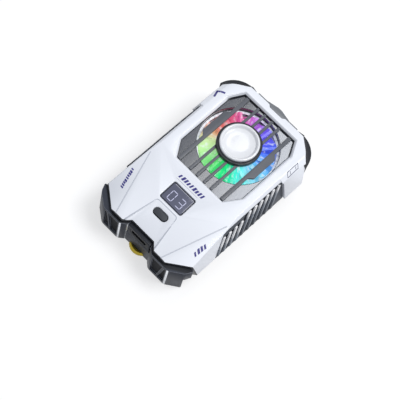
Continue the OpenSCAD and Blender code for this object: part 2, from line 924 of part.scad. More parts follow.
module usb_tongue() {
    tongue_w = 6.6;
    tongue_t = 0.7;
    color("black") translate([-tongue_w / 2, over / 2 - face_y, port_z - tongue_t / 2])
        cube([tongue_w, port_l - port_wall - over / 2, tongue_t]);
}

// Front jaw
module pocket_cuts() {
    z0 = jaw_bottom + 2 * pocket_rib;
    z1 = jaw_top - 2 * pocket_rib;
    x0 = prong_in + pocket_rib;
    x1 = prong_out - pocket_rib;
    split = x0 + (x1 - x0) * 0.62;
    lean = (x1 - x0) * 0.3;
    along_y(-prong_y - over, pocket_t - prong_y) {
        polygon([[x0, z0], [split - lean / 2, z0], [split + lean / 2, z1], [x0, z1]]);
        polygon([
            [split - lean / 2 + pocket_rib, z0],
            [x1, z0],
            [x1, z1],
            [split + lean / 2 + pocket_rib, z1]
        ]);
    }
}

module front_jaw() {
    lip_end = grip_y - lip_reach;
    color("dimgray") difference() {
        union() {
            both_sides() {
                up(gap, jaw_top) polygon(jaw_plan);
                intersection() {
                    up(jaw_bottom, gap) polygon(jaw_plan);
                    union() {
                        translate([0, -big - jaw_in, -big / 2]) cube(big);
                        translate([prong_out + gap, -big - grip_y - fit, -big / 2]) cube(big);
                    }
                }
                translate([arm_in, -jaw_back - over, floor_top + gap])
                    cube([arm_w, jaw_back + over - arm_end, arm_t]);
            }
            translate([-slot_x - over, -face_y, jaw_bottom])
                cube([2 * (slot_x + over), face_y - jaw_in, -jaw_bottom]);
            translate([-prong_out, -jaw_in - over, jaw_bottom])
                cube([2 * prong_out, jaw_in + over - lip_end, lip_t]);
        }
        both_sides() {
            pocket_cuts();
            translate([rod_x, 0, rod_z]) along_y(-jaw_back - rod_seat, over - jaw_back) circle(rod_d / 2);
        }
    }
}

rod_seat = 2.6;

module grip_pad() {
    ribs = floor(prong_out / rib_pitch) - 1;
    difference() {
        translate([-prong_out, 0, -phone_t]) cube([2 * prong_out, grip_t, phone_t - 2 * gap]);
        for (i = [-ribs:ribs]) translate([i * rib_pitch - rib_pitch / 4, grip_t / 2, -big / 2])
            cube([rib_pitch / 2, grip_t, big]);
    }
}

rib_pitch = 2.4;

module jaw_pad() {
    color("black") translate([0, -jaw_in, 0]) grip_pad();
}

module pull_tab() {
    r = (pow(tab_w / 2, 2) + pow(tab_out, 2)) / (2 * tab_out);
    color("gold") intersection() {
        translate([0, r - tab_out - face_y, 0]) cylinder_between(r, jaw_bottom, jaw_bottom + tab_t);
        translate([-big / 2, -big - face_y, -big / 2]) cube(big);
    }
}

module guide_rods() {
    color("silver") both_sides() translate([rod_x, 0, rod_z])
        along_y(-jaw_back - rod_seat, rod_end) circle(rod_d / 2);
}

module rod_clips() {
    color("dimgray") both_sides() translate([rod_x, 0, rod_z]) along_y(spring_end, rod_end)
        difference() {
            circle(spring_out);
            circle(rod_d / 2);
        }
}

module guide_bushes() {
    color("goldenrod") both_sides() translate([rod_x, 0, rod_z]) along_y(-front_wall_y, bush_back)
        difference() {
            circle(rod_d / 2 + bush_t);
            circle(rod_d / 2 + run);
        }
}

// Springs round the guide rods: one tube along a helix, with a straight run at each end
curl_rings = 8;
tube_sides = 6;
spring_len = spring_end - bush_back - 2 * wire_d;
spring_steps = spring_turns * curl_rings;
function curl_angle(i) = 360 * i / curl_rings;
function curl_point(i) = [
    spring_r * cos(curl_angle(i)),
    bush_back + wire_d + spring_len * i / spring_steps,
    spring_r * sin(curl_angle(i))
];
spring_path = concat(
    [curl_point(0) - [0, wire_d, 0]],
    [for (i = [0:spring_steps]) curl_point(i)],
    [curl_point(spring_steps) + [0, wire_d, 0]]
);
function path_turn(i) = curl_angle(min(max(i - 1, 0), spring_steps));
function path_way(i) = i == 0 || i == len(spring_path) - 1
    ? [0, 1, 0]
    : let (d = spring_path[i + 1] - spring_path[i - 1]) d / norm(d);
function tube_ring(i) =
    let (e = [cos(path_turn(i)), 0, sin(path_turn(i))], t = path_way(i))
    let (side = e - t * (e * t), n = side / norm(side), b = cross(t, n))
    [for (k = [0:tube_sides - 1])
        spring_path[i] + wire_d / 2 * (n * cos(360 * k / tube_sides) + b * sin(360 * k / tube_sides))];
function tube_faces(rings) = concat(
    [[for (k = [0:tube_sides - 1]) k]],
    [for (i = [0:rings - 2], k = [0:tube_sides - 1], half = [0, 1])
        let (a = i * tube_sides + k, b = i * tube_sides + (k + 1) % tube_sides)
        half == 0 ? [a, a + tube_sides, b] : [b, a + tube_sides, b + tube_sides]],
    [[for (k = [tube_sides - 1:-1:0]) (rings - 1) * tube_sides + k]]
);
spring_gap = min([
    for (i = [0:len(spring_path) - 1], j = [i + curl_rings / 2:1:len(spring_path) - 1])
        norm(spring_path[i] - spring_path[j]) - wire_d
]);
echo(spring_gap = spring_gap);

module jaw_springs() {
    color("silver") both_sides() translate([rod_x, 0, rod_z]) polyhedron(
        [for (i = [0:len(spring_path) - 1]) each tube_ring(i)],
        tube_faces(len(spring_path))
    );
}

// Rear hook
module rear_hook() {
    lip_end = rear_grip_y - lip_reach;
    half_w = prong_out + over;
    color("darkslategray") difference() {
        union() {
            intersection() {
                up(jaw_bottom, floor_z) polygon(mirrored([
                    [half_w, hook_in],
                    [half_w, knee_y],
                    [rear_w / 2 - over, tail_len - over]
                ]));
                along_x(-big / 2, big / 2) polygon([
                    [hook_in, floor_z],
                    [hook_in, jaw_bottom],
                    [tail_len - 4 * over, jaw_bottom],
                    [tail_len - over, jaw_bottom / 2],
                    [tail_len - over, floor_z]
                ]);
            }
            translate([-prong_out, lip_end, jaw_bottom])
                cube([2 * prong_out, hook_in + over - lip_end, lip_t]);
        }
        both_sides() translate(hook_screw) {
            cylinder_between(screw_r + fit, jaw_bottom - over, floor_z + over);
            cylinder_between(screw_head_r + fit, jaw_bottom - over, jaw_bottom / 2);
        }
    }
}

module rear_pad() {
    color("black") translate([0, hook_in, 0]) mirror([0, 1, 0]) grip_pad();
}

bumper_r = 11.5;
bumper_in = 0.6;
bumper_out = 0.4;
bumper_start = 1;
bumper_low = 2.5;
bumper_top = rim_z - 0.4;

module rear_bumper_right() {
    rim_x = flank_w / 2 + shoulder_out;
    color("black") difference() {
        up(bumper_low, bumper_top) intersection() {
            translate([rear_w / 2 - bumper_in, tail_len + bumper_out - bumper_r]) circle(bumper_r);
            translate([0, shoulder_end + bumper_start]) polygon([
                [0, 0],
                [rim_x, 0],
                [rim_x + big, big],
                [0, big]
            ]);
        }
        intersection() {
            up(0, top_z) polygon(shoulder_plan);
            along_y(0, big) section(shoulder_out, 0);
        }
    }
}

module rear_bumper_left() {
    mirror([1, 0, 0]) rear_bumper_right();
}

module rear_insert() {
    color("gray") {
        up(insert_low, insert_top) {
            intersection() {
                rear_notch(fit);
                translate([-insert_w / 2, 0]) square([insert_w, tail_len + fit]);
            }
            translate([-strip_w / 2, tail_len]) square([strip_w, strip_out]);
            translate([0, tail_len]) polygon(mirrored([
                [insert_w / 2, 0],
                [insert_w / 4 + over, insert_out / 2],
                [over, insert_out]
            ]));
        }
    }
}

// Electronics
module display_window() {
    color("black") on_slope(-display_y) up(-display_sink - glass_t, -display_sink)
        rounded_rect(display_w - fit, display_l - fit, over);
}

module display_module() {
    color("dimgray") on_slope(-display_y) up(-board_depth, -display_sink - glass_t)
        rounded_rect(display_w - 2 * gap, display_l - 2 * gap, over / 2);
}

module button() {
    under = -wall - gap;
    color("black") on_facet(-key_y) {
        up(under - flange_key, key_rise) pill(key_w, key_l);
        up(under - flange_key, under) pill(key_w + 2, key_l + 2);
    }
}

switch_top = -wall - gap - flange_key - key_travel - fit;

module tact_switch() {
    color("gray") intersection() {
        on_facet(-key_y) up(-big / 10, switch_top) square(switch_w, center = true);
        on_slope(-display_y) up(-board_depth, 0) square(big, center = true);
    }
}

module control_board() {
    color("darkgreen") difference() {
        on_slope(-display_y) up(-board_depth - pcb_t, -board_depth)
            translate([-board_w / 2, display_y - board_front])
            square([board_w, board_front - board_back]);
        both_sides() translate(post_front) cylinder_between(boss_r + fit, 0, top_z);
    }
}

// Vents
louvre_count = floor((vent_front + vent_back - vent_slant) / louvre_pitch - 0.6);
louvre_split = (vent_back - vent_front - louvre_pitch) / 2 - vent_slant;
function louvre_y(i) = (i + 0.65) * louvre_pitch - vent_front;
function louvre_top(y) = y > louvre_split ? vent_rise - pocket_rib / 2 : vent_rise * 0.77;

// A strip that leans back as it climbs the vent
module slanted(y, w, z0, z1) {
    lean = vent_slant / (vent_rise - vent_drop);
    polygon([
        [y + lean * z0, z0],
        [y + w + lean * z0, z0],
        [y + w + lean * z1, z1],
        [y + lean * z1, z1]
    ]);
}

module vent_slots() {
    for (i = [0:louvre_count - 1])
        slanted(louvre_y(i), louvre_slot, pocket_rib, louvre_top(louvre_y(i)));
}

module vent_louvres() {
    rib = louvre_pitch - louvre_slot;
    for (i = [-1:louvre_count - 1])
        slanted(louvre_y(i) + louvre_slot + rib / 5, rib * 3 / 5, pocket_rib, louvre_top(louvre_y(i)));
}

module side_vent_right() {
    color("black") on_flank() {
        difference() {
            along_x(-vent_sink - vent_t, -vent_sink) intersection() {
                vent_outline(fit);
                translate([-big / 2, 0]) square(big);
            }
            along_x(-wall - over, over) intersection() {
                vent_slots();
                vent_outline(fit + pocket_rib / 2);
            }
        }
        along_x(-vent_sink - vent_t / 2, louvre_out) intersection() {
            vent_louvres();
            vent_outline(fit + pocket_rib / 2);
        }
    }
}

module side_vent_left() {
    mirror([1, 0, 0]) side_vent_right();
}

// Fasteners
module screw(l) {
    difference() {
        cylinder_between(screw_head_r, 0, screw_head_t);
        for (a = [0, 90]) rotate(a) translate([-cross_l / 2, -cross_w / 2, -over])
            cube([cross_l, cross_w, over + screw_head_t / 2]);
    }
    cylinder_between(screw_r, screw_head_t, screw_head_t + l);
}

cross_l = 1.7;
cross_w = 0.35;

module base_screws() {
    color("silver") both_sides() for (p = [post_front, post_rear])
        translate([p[0], p[1], floor_z]) screw(floor_t + screw_head_t);
}

module sink_screws() {
    color("silver") sink_screw_places() translate([0, 0, sink_top + screw_head_t])
        mirror([0, 0, 1]) screw(sink_t + over);
}

module hook_screws() {
    color("silver") both_sides() translate([hook_screw[0], hook_screw[1], jaw_bottom / 2 - screw_head_t])
        screw(floor_top - jaw_bottom / 2);
}

module motor_screws() {
    color("silver") translate([0, fan_y, 0]) motor_screw_places()
        translate([0, 0, sink_top + board_t + screw_head_t / 2]) mirror([0, 0, 1]) {
            cylinder_between(screw_head_r - fit, 0, screw_head_t / 2);
            cylinder_between(screw_r, screw_head_t / 2, screw_head_t / 2 + board_t);
        }
}

top_shell();
base_frame();
deck_panel();
fan_grille();
hub_cap();
fan_shroud();
light_ring();
display_window();
display_module();
button();
tact_switch();
control_board();
side_vent_left();
side_vent_right();
rear_bumper_left();
rear_bumper_right();
rear_insert();
thermal_pad();
cold_plate();
peltier_plates();
peltier_pellets();
heat_sink();
led_board();
leds();
motor_base();
stator_core();
stator_coils();
bearing_sleeve();
fan_shaft();
magnet_ring();
fan_rotor();
port_housing();
usb_socket();
usb_tongue();
front_jaw();
jaw_pad();
pull_tab();
guide_rods();
rod_clips();
guide_bushes();
jaw_springs();
rear_hook();
rear_pad();
base_screws();
sink_screws();
hook_screws();
motor_screws();
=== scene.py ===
import json
import math
from functools import partialmethod

import bmesh
import bpy
from mathutils import Matrix, Vector
from mathutils.bvhtree import BVHTree


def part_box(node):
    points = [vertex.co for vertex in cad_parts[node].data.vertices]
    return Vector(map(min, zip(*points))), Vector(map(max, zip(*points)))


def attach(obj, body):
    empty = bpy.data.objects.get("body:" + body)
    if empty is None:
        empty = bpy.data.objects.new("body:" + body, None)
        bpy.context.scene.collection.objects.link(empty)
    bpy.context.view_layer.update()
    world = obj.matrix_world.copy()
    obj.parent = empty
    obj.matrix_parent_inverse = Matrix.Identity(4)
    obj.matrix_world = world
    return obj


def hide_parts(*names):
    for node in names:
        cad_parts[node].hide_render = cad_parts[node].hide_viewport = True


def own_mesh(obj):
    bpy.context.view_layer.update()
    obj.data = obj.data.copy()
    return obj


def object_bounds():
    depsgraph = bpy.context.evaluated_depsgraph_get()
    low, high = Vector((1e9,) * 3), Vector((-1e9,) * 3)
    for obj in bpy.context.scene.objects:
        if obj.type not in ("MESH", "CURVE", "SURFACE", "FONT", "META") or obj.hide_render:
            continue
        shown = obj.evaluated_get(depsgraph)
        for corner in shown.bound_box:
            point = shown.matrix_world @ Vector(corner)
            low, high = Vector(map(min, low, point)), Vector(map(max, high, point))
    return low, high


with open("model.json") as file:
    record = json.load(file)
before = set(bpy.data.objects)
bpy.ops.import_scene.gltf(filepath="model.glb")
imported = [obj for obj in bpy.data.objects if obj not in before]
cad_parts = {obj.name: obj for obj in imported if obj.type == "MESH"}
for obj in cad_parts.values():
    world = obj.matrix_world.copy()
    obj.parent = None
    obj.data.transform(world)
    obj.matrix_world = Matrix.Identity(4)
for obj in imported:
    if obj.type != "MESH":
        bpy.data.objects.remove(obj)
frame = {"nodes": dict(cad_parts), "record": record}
nodes = frame["nodes"]
cad_box = [[float(c) for c in corner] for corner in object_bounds()]
body_of = {n: b for b, names in frame["record"]["behaviour"]["bodies"].items() for n in names}
slot_of = {s["node"]: s["material_slot"] for s in frame["record"]["subparts"]}
MM = 0.001

# Measures of the solids that the looks follow, in mm

FRONT, FRONT_TOP = -37.2, 10.0          # place and height of the cover's front edge
NOSE_RUN, NOSE_RISE = 35.2, 4.5         # the cover's nose climbs by this much on its way back from there
CREASE = 13.3                           # half width of the nose at the front edge
SHOULDER = 16.0                         # half width of the front edge
NOTCH, NOTCH_DEPTH = 9.3, 3.0           # half width and depth of the notch in it
FLANK_HEIGHT, FLANK_LEAN = 12.2, 3.55   # the side walls lean in by this much over their height
FLANK_FOOT = (27.5, 0, 1)               # a place on the vent's plate in the right side wall
LOUVRE_LEAN = 0.603                     # how far back the louvres lean for each mm of height
SHORT_LOUVRES = -4.8                    # the louvres whose feet lie ahead of this are shorter
KEY_FACET_REAR, KEY_FACET_HALF = -20.4, 5.7   # rear edge of the facet round the key, half its width there
KEY_FACET_FLARE = 0.189                 # and by how much that half grows for each mm towards the front
HUB_RING = (9.9, 10.6)                  # the grille is dark inside the first radius, and grey past the second
JAW_HEIGHT, JAW_CHAMFER = 16.8, 1.4     # the jaw's height, and the greatest width of its upright chamfers
POCKET_X, POCKET_Y = (9.0, 20.0), (-38.1, -36.2)   # where the floors of the jaw's pockets lie
RIM_X, RIM_Y, RIM_Z = 22.0, 4.0, 12.0   # the cover's long rims lie outside, behind and above these
WINDOW_HALF = [(13.5, -1.7), (18.3, 5.6), (18.3, 34.5), (14.7, 41.3)]   # right half of the window, from above
WALL_REACH, WALL_TOP = 1.3, 13.82       # how far out its rear walls are painted grey as shade, and how high they are painted dark as shadow
LIP = 0.3                               # width of the painted shadow line along the cover's front edge

NOSE = math.atan(NOSE_RISE / NOSE_RUN)
SLOPE = Vector((0, -math.sin(NOSE), math.cos(NOSE)))
FLANK = math.atan(FLANK_LEAN / FLANK_HEIGHT)
FAN = Vector((0.0, sum(end.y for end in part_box("fan_rotor")) / 2, 0.0))

# Normals, seen from above, of slanted edges on the right: the window's rear side, the cover's front and the
# painted shadow band on the jaw's top
WINDOW_SLANT, COVER_SLANT, BAND_SLANT = (0.8838, 0.4679), (0.612, 0.791), (0.531, 0.847)


# Colours

def srgb(r, g, b):
    """Screen values from 0 to 255, as linear light."""
    out = []
    for c in (r, g, b):
        c /= 255.0
        out.append(c / 12.92 if c <= 0.04045 else ((c + 0.055) / 1.055) ** 2.4)
    return (*out, 1.0)


def scaled(colour, k):
    """A colour made lighter or darker."""
    return (*[min(1.0, c * k) for c in colour[:3]], 1.0)


SHADOW = srgb(34, 37, 43)


# Materials

class Shader:
    """A principled material whose patterns run in the part's own frame."""

    def __init__(self, name):
        self.mat = bpy.data.materials.new(name)
        self.mat.use_nodes = True
        self.tree = self.mat.node_tree
        self.tree.nodes.clear()
        out = self.tree.nodes.new("ShaderNodeOutputMaterial")
        self.bsdf = self.tree.nodes.new("ShaderNodeBsdfPrincipled")
        self.tree.links.new(self.bsdf.outputs[0], out.inputs[0])
        self.place = self.tree.nodes.new("ShaderNodeTexCoord").outputs["Object"]

    def put(self, socket, value):
        """Links a node's output to a socket, or sets a plain value on it."""
        if isinstance(value, bpy.types.NodeSocket):
            self.tree.links.new(value, socket)
        else:
            socket.default_value = value

    def set(self, **values):
        for key, value in values.items():
            self.put(self.bsdf.inputs[key.replace("_", " ")], value)

    def op(self, kind, a, b=0.0):
        n = self.tree.nodes.new("ShaderNodeMath")
        n.operation = kind
        self.put(n.inputs[0], a)
        self.put(n.inputs[1], b)
        return n.outputs[0]

    plus = partialmethod(op, "ADD")
    minus = partialmethod(op, "SUBTRACT")
    times = partialmethod(op, "MULTIPLY")
    over = partialmethod(op, "DIVIDE")
    larger = partialmethod(op, "MAXIMUM")
    smaller = partialmethod(op, "MINIMUM")
    above = partialmethod(op, "GREATER_THAN")
    below = partialmethod(op, "LESS_THAN")
    size = partialmethod(op, "ABSOLUTE")

    def xyz(self):
        """The three coordinates in the part's frame, in metres."""
        n = self.tree.nodes.new("ShaderNodeSeparateXYZ")
        self.put(n.inputs[0], self.place)
        return n.outputs

    def joined(self, x, y, z):
        n = self.tree.nodes.new("ShaderNodeCombineXYZ")
        for socket, value in zip(n.inputs, (x, y, z)):
            self.put(socket, value)
        return n.outputs[0]

    def stretched(self, x, y, z, turn=0.0):
        """The place, scaled along each axis and then turned about the upright one."""
        n = self.tree.nodes.new("ShaderNodeMapping")
        self.put(n.inputs["Vector"], self.place)
        n.inputs["Rotation"].default_value = (0, 0, turn)
        n.inputs["Scale"].default_value = (x, y, z)
        return n.outputs[0]

    def noise(self, scale, detail=3.0, rough=0.5, at=None):
        n = self.tree.nodes.new("ShaderNodeTexNoise")
        self.put(n.inputs["Vector"], at if at is not None else self.place)
        n.inputs["Scale"].default_value = scale
        n.inputs["Detail"].default_value = detail
        n.inputs["Roughness"].default_value = rough
        return n.outputs[0]

    def cells(self, scale, feature):
        n = self.tree.nodes.new("ShaderNodeTexVoronoi")
        n.feature = feature
        self.put(n.inputs["Vector"], self.place)
        n.inputs["Scale"].default_value = scale
        return n.outputs[0]

    def ranged(self, fac, low, high, from_low=0.0, from_high=1.0, smooth=False):
        n = self.tree.nodes.new("ShaderNodeMapRange")
        if smooth:
            n.interpolation_type = "SMOOTHSTEP"
        self.put(n.inputs["Value"], fac)
        n.inputs["From Min"].default_value = from_low
        n.inputs["From Max"].default_value = from_high
        n.inputs["To Min"].default_value = low
        n.inputs["To Max"].default_value = high
        return n.outputs[0]

    def mixed(self, fac, a, b, kind="MIX"):
        n = self.tree.nodes.new("ShaderNodeMix")
        n.data_type = "RGBA"
        n.blend_type = kind
        for socket, value in ((0, fac), (6, a), (7, b)):
            self.put(n.inputs[socket], value)
        return n.outputs[2]

    def ramp(self, fac, stops):
        n = self.tree.nodes.new("ShaderNodeValToRGB")
        self.put(n.inputs[0], fac)
        ends = n.color_ramp.elements
        ends[0].position, ends[0].color = stops[0]
        ends[1].position, ends[1].color = stops[-1]
        for at, colour in stops[1:-1]:
            ends.new(at).color = colour
        return n.outputs[0]

    def bump(self, height, strength, depth):
        n = self.tree.nodes.new("ShaderNodeBump")
        n.inputs["Strength"].default_value = strength
        n.inputs["Distance"].default_value = depth
        self.put(n.inputs["Height"], height)
        return n.outputs[0]


def moulded(name, colour, rough, tint, grain=1800.0, depth=20e-6, coat=0.0, gloss=0.5, shade=None):
    """Moulded plastic: slow cloudy colour, uneven polish and a fine orange-peel grain.

    shade is a function that paints shade into the colour by the place on the part."""
    s = Shader(name)
    colour = srgb(*colour)
    cloud = s.noise(90.0, 4.0)
    fleck = s.noise(grain, 3.0, 0.6)
    tone = s.mixed(cloud, scaled(colour, 1 - tint), scaled(colour, 1 + tint))
    tone = s.mixed(s.ranged(fleck, 0.0, 0.35), tone, scaled(colour, 1 - 2 * tint))
    s.set(Base_Color=shade(s, tone) if shade else tone,
          Roughness=s.ranged(s.noise(260.0, 5.0, 0.65), rough * 0.78, rough * 1.22),
          Normal=s.bump(fleck, 0.35, depth))
    s.set(Coat_Weight=coat, Coat_Roughness=0.08, Specular_IOR_Level=gloss)
    return s.mat


def brushed(name, colour, rough, along, metal=1.0, tint=0.12):
    """Metal with fine draw lines along one axis."""
    s = Shader(name)
    colour = srgb(*colour)
    lines = s.noise(1.0, 4.0, 0.7, at=s.stretched(*[40 if axis == along else 2600 for axis in "xyz"]))
    cloud = s.noise(160.0, 3.0)
    tone = s.mixed(lines, scaled(colour, 1 - tint), scaled(colour, 1 + tint))
    s.set(Base_Color=s.mixed(s.ranged(cloud, 0.0, 0.3), tone, scaled(colour, 0.8)),
          Roughness=s.ranged(lines, rough * 0.75, rough * 1.25),
          Normal=s.bump(lines, 0.25, 10e-6), Metallic=metal)
    return s.mat


def rubber_black():
    """Soft rubber: a dusty, pebbled skin with no gloss."""
    s = Shader("rubber_black")
    colour = srgb(48, 48, 50)
    pebble = s.cells(2600.0, "F1")
    dust = s.noise(300.0, 5.0, 0.7)
    s.set(Base_Color=s.mixed(dust, scaled(colour, 0.75), scaled(colour, 1.6)),
          Roughness=s.ranged(dust, 0.72, 0.92), Normal=s.bump(pebble, 0.5, 40e-6))
    s.set(Specular_IOR_Level=0.3)
    return s.mat


def panel_grey():
    """Lacquered grey sheet under a clear coat with faint haze, its colour paling towards the right and back
    as a painted reflection.
    """
    s = Shader("panel_grey")
    cloud = s.noise(70.0, 4.0)
    haze = s.noise(1.0, 2.0, 0.5, at=s.stretched(160, 50, 100))
    x, y, _ = s.xyz()
    # Painted reflection: the colour pales from the left towards the right and back
    across = s.ranged(s.plus(x, s.times(y, 0.25)), 0.0, 1.0, -4 * MM, 24 * MM, True)
    tone = s.mixed(across, srgb(36, 44, 60), srgb(126, 134, 148))
    s.set(Base_Color=s.mixed(s.ranged(cloud, 0.0, 0.25), tone, srgb(74, 80, 91)),
          Roughness=s.ranged(haze, 0.16, 0.175))
    s.set(Specular_IOR_Level=0.35, Coat_Weight=1.0, Coat_IOR=1.6, Coat_Roughness=0.11)
    return s.mat


def past_line(s, x, ahead, corner, slant):
    """How far a place lies past a slanted line that leaves a corner, the same on both sides.

    corner is the corner's half width in mm, and ahead the distance past it along y."""
    aside = s.minus(s.size(x), corner * MM)
    return s.plus(s.times(aside, slant[0]), s.times(ahead, slant[1]))


def front_shade(s, x, y):
    """Painted shade: how grey the facet round the key and the left front facet turn towards the jaw."""
    ahead = s.minus(KEY_FACET_REAR * MM, y)
    half = s.plus(s.times(ahead, KEY_FACET_FLARE), KEY_FACET_HALF * MM)
    inside = s.times(s.above(ahead, 0.0), s.below(s.size(x), half))
    key_facet = s.times(inside, s.ranged(ahead, 0.05, 0.35, 0.0, 16 * MM))
    left_facet = s.times(s.ranged(x, 1.0, 0.0, -22 * MM, -13 * MM, True),
                         s.ranged(y, 1.0, 0.0, -34 * MM, -12 * MM, True))
    return s.plus(key_facet, s.times(left_facet, 0.45))


def window_wall_shade(s, x, y):
    """Where painted shade goes: 1 on the rear walls of the window and the start of the rim behind them."""
    corner, rear = WINDOW_HALF[-1]
    past = s.minus(y, rear * MM)
    past = s.larger(past, past_line(s, x, past, corner, WINDOW_SLANT))
    return s.times(s.below(past, WALL_REACH * MM), s.ranged(y, 0.0, 1.0, 33 * MM, 36 * MM, True))


def front_lip_shadow(s, x, y):
    """Where a painted shadow line goes: 1 along the cover's front edge, its notch among it."""
    ahead = s.minus(FRONT * MM, y)
    flank = past_line(s, x, ahead, SHOULDER, COVER_SLANT)
    notch = s.times(s.plus(s.minus(NOTCH * MM, s.size(x)), ahead), 0.7071)
    notch = s.smaller(notch, s.plus(ahead, NOTCH_DEPTH * MM))
    return s.above(s.larger(s.larger(ahead, flank), notch), -LIP * MM)


def cover_painted_shade(s, tone):
    """Painted shade on two front facets and on the window's rear walls, and painted shadow low on those walls
    and along the front edge.
    """
    x, y, z = s.xyz()
    tone = s.mixed(front_shade(s, x, y), tone, srgb(196, 200, 208))
    wall = window_wall_shade(s, x, y)
    tone = s.mixed(s.times(wall, 0.4), tone, srgb(110, 115, 124))
    tone = s.mixed(s.times(wall, s.below(z, WALL_TOP * MM)), tone, SHADOW)
    return s.mixed(front_lip_shadow(s, x, y), tone, SHADOW)


def shadow_by_the_cover(s, tone):
    """Painted shadow where the jaw's top lies close under the cover's edge, in a band that widens on the
    right.
    """
    x, y, _ = s.xyz()
    ahead = s.minus(FRONT * MM, y)
    away = s.larger(ahead, past_line(s, x, ahead, CREASE, BAND_SLANT))
    away = s.minus(away, s.ranged(x, 0.0, 1.6 * MM, 9 * MM, 13 * MM, True))
    return s.mixed(s.ranged(away, 1.0, 0.0, 0.9 * MM, 1.7 * MM), tone, srgb(26, 29, 35))


def edge_highlight():
    """Fine corners of the jaw, lighter as a painted highlight and a little rubbed."""
    s = Shader("edge_highlight")
    wear = s.noise(700.0, 4.0, 0.6)
    s.set(Base_Color=s.mixed(wear, srgb(76, 80, 90), srgb(112, 117, 128)), Roughness=s.ranged(wear, 0.5, 0.3))
    s.set(Specular_IOR_Level=0.3)
    return s.mat


# Middles and half widths, in mm across the jaw, of the painted highlights on its upright corners
GLINTS = ((-9.4, 0.55), (-6.95, 0.5), (18.9, 0.6))


def jaw_glint():
    """Upright chamfers of the jaw, with a painted highlight along the three that turn to the right."""
    s = Shader("jaw_glint")
    x, _, _ = s.xyz()
    # Mask of the painted highlight round each of these middles
    painted_glint = 0.0
    for middle, reach in GLINTS:
        off = s.size(s.minus(x, middle * MM))
        painted_glint = s.larger(painted_glint, s.ranged(off, 1.0, 0.0, 0.5 * reach * MM, reach * MM, True))
    wear = s.noise(700.0, 4.0, 0.6)
    painted_glint = s.times(painted_glint, s.ranged(wear, 0.8, 1.0, 0.3, 0.6))
    s.set(Base_Color=s.mixed(painted_glint, srgb(58, 62, 72), srgb(232, 235, 240)), Metallic=painted_glint,
          Roughness=s.ranged(wear, 0.45, 0.3))
    s.set(Specular_IOR_Level=0.15)
    return s.mat


def pad_blue():
    """The soft pad on the cold face: pale blue, cloudy, with a fine cell print."""
    s = Shader("pad_blue")
    cloud = s.noise(220.0, 5.0, 0.6)
    weave = s.cells(1300.0, "F1")
    s.set(Base_Color=s.mixed(cloud, srgb(150, 170, 190), srgb(178, 194, 208)),
          Roughness=s.ranged(cloud, 0.6, 0.8), Normal=s.bump(weave, 0.4, 30e-6))
    s.set(Subsurface_Weight=0.1, Subsurface_Scale=1 * MM)
    return s.mat


def board_green():
    """Circuit board under green lacquer, with raised tracks."""
    s = Shader("board_green")
    track = s.below(s.cells(420.0, "DISTANCE_TO_EDGE"), 0.09)
    cloud = s.noise(500.0, 3.0)
    base = s.mixed(cloud, srgb(14, 62, 36), srgb(24, 84, 48))
    s.set(Base_Color=s.mixed(track, base, srgb(44, 120, 70)), Roughness=s.ranged(cloud, 0.3, 0.5),
          Normal=s.bump(track, 0.3, 30e-6))
    s.set(Coat_Weight=0.3, Coat_Roughness=0.15)
    return s.mat


def copper():
    """Wound wire, one ridge for each turn."""
    s = Shader("copper")
    _, _, z = s.xyz()
    turns = s.op("FRACT", s.times(z, 4500.0))
    ridge = s.op("PINGPONG", turns, 0.5)
    s.set(Base_Color=s.mixed(ridge, srgb(120, 62, 30), srgb(206, 128, 76)), Metallic=0.9,
          Roughness=s.ranged(s.noise(900.0), 0.25, 0.45), Normal=s.bump(ridge, 0.6, 50e-6))
    return s.mat


def tab_gold():
    """Gilt plastic with fine lines along the rim."""
    s = Shader("tab_gold")
    lines = s.noise(1.0, 3.0, 0.6, at=s.stretched(60, 60, 3000))
    cloud = s.noise(500.0, 3.0)
    s.set(Base_Color=s.mixed(lines, srgb(150, 130, 32), srgb(208, 186, 66)), Metallic=0.6,
          Roughness=s.ranged(cloud, 0.2, 0.34), Normal=s.bump(lines, 0.2, 10e-6))
    return s.mat


def polar(s):
    """Offsets from the fan's axis, the distance from it, and the angle about it from 0 to 1."""
    x, y, _ = s.xyz()
    dy = s.minus(y, FAN.y)
    reach = s.op("SQRT", s.plus(s.times(x, x), s.times(dy, dy)))
    turn = s.op("FRACT", s.plus(s.over(s.op("ARCTAN2", dy, x), 2 * math.pi), 1.0))
    return x, dy, reach, turn


# Hues round the fan, by the angle
RAINBOW = [
    (0.000, (0.42, 0.78, 0.95)), (0.070, (0.34, 0.60, 0.95)), (0.125, (0.26, 0.38, 0.92)),
    (0.220, (0.44, 0.36, 0.93)), (0.290, (0.80, 0.42, 0.90)), (0.335, (0.86, 0.42, 0.70)),
    (0.375, (0.88, 0.34, 0.58)), (0.450, (0.88, 0.45, 0.45)), (0.500, (0.92, 0.48, 0.42)),
    (0.525, (0.92, 0.62, 0.45)), (0.555, (0.90, 0.84, 0.68)), (0.585, (0.82, 0.91, 0.66)),
    (0.625, (0.78, 0.95, 0.66)), (0.680, (0.56, 0.90, 0.54)), (0.750, (0.24, 0.86, 0.42)),
    (0.800, (0.12, 0.92, 0.56)), (0.840, (0.16, 0.86, 0.66)), (0.885, (0.34, 0.96, 0.92)),
    (0.925, (0.56, 0.88, 0.92)), (1.000, (0.42, 0.78, 0.95)),
]


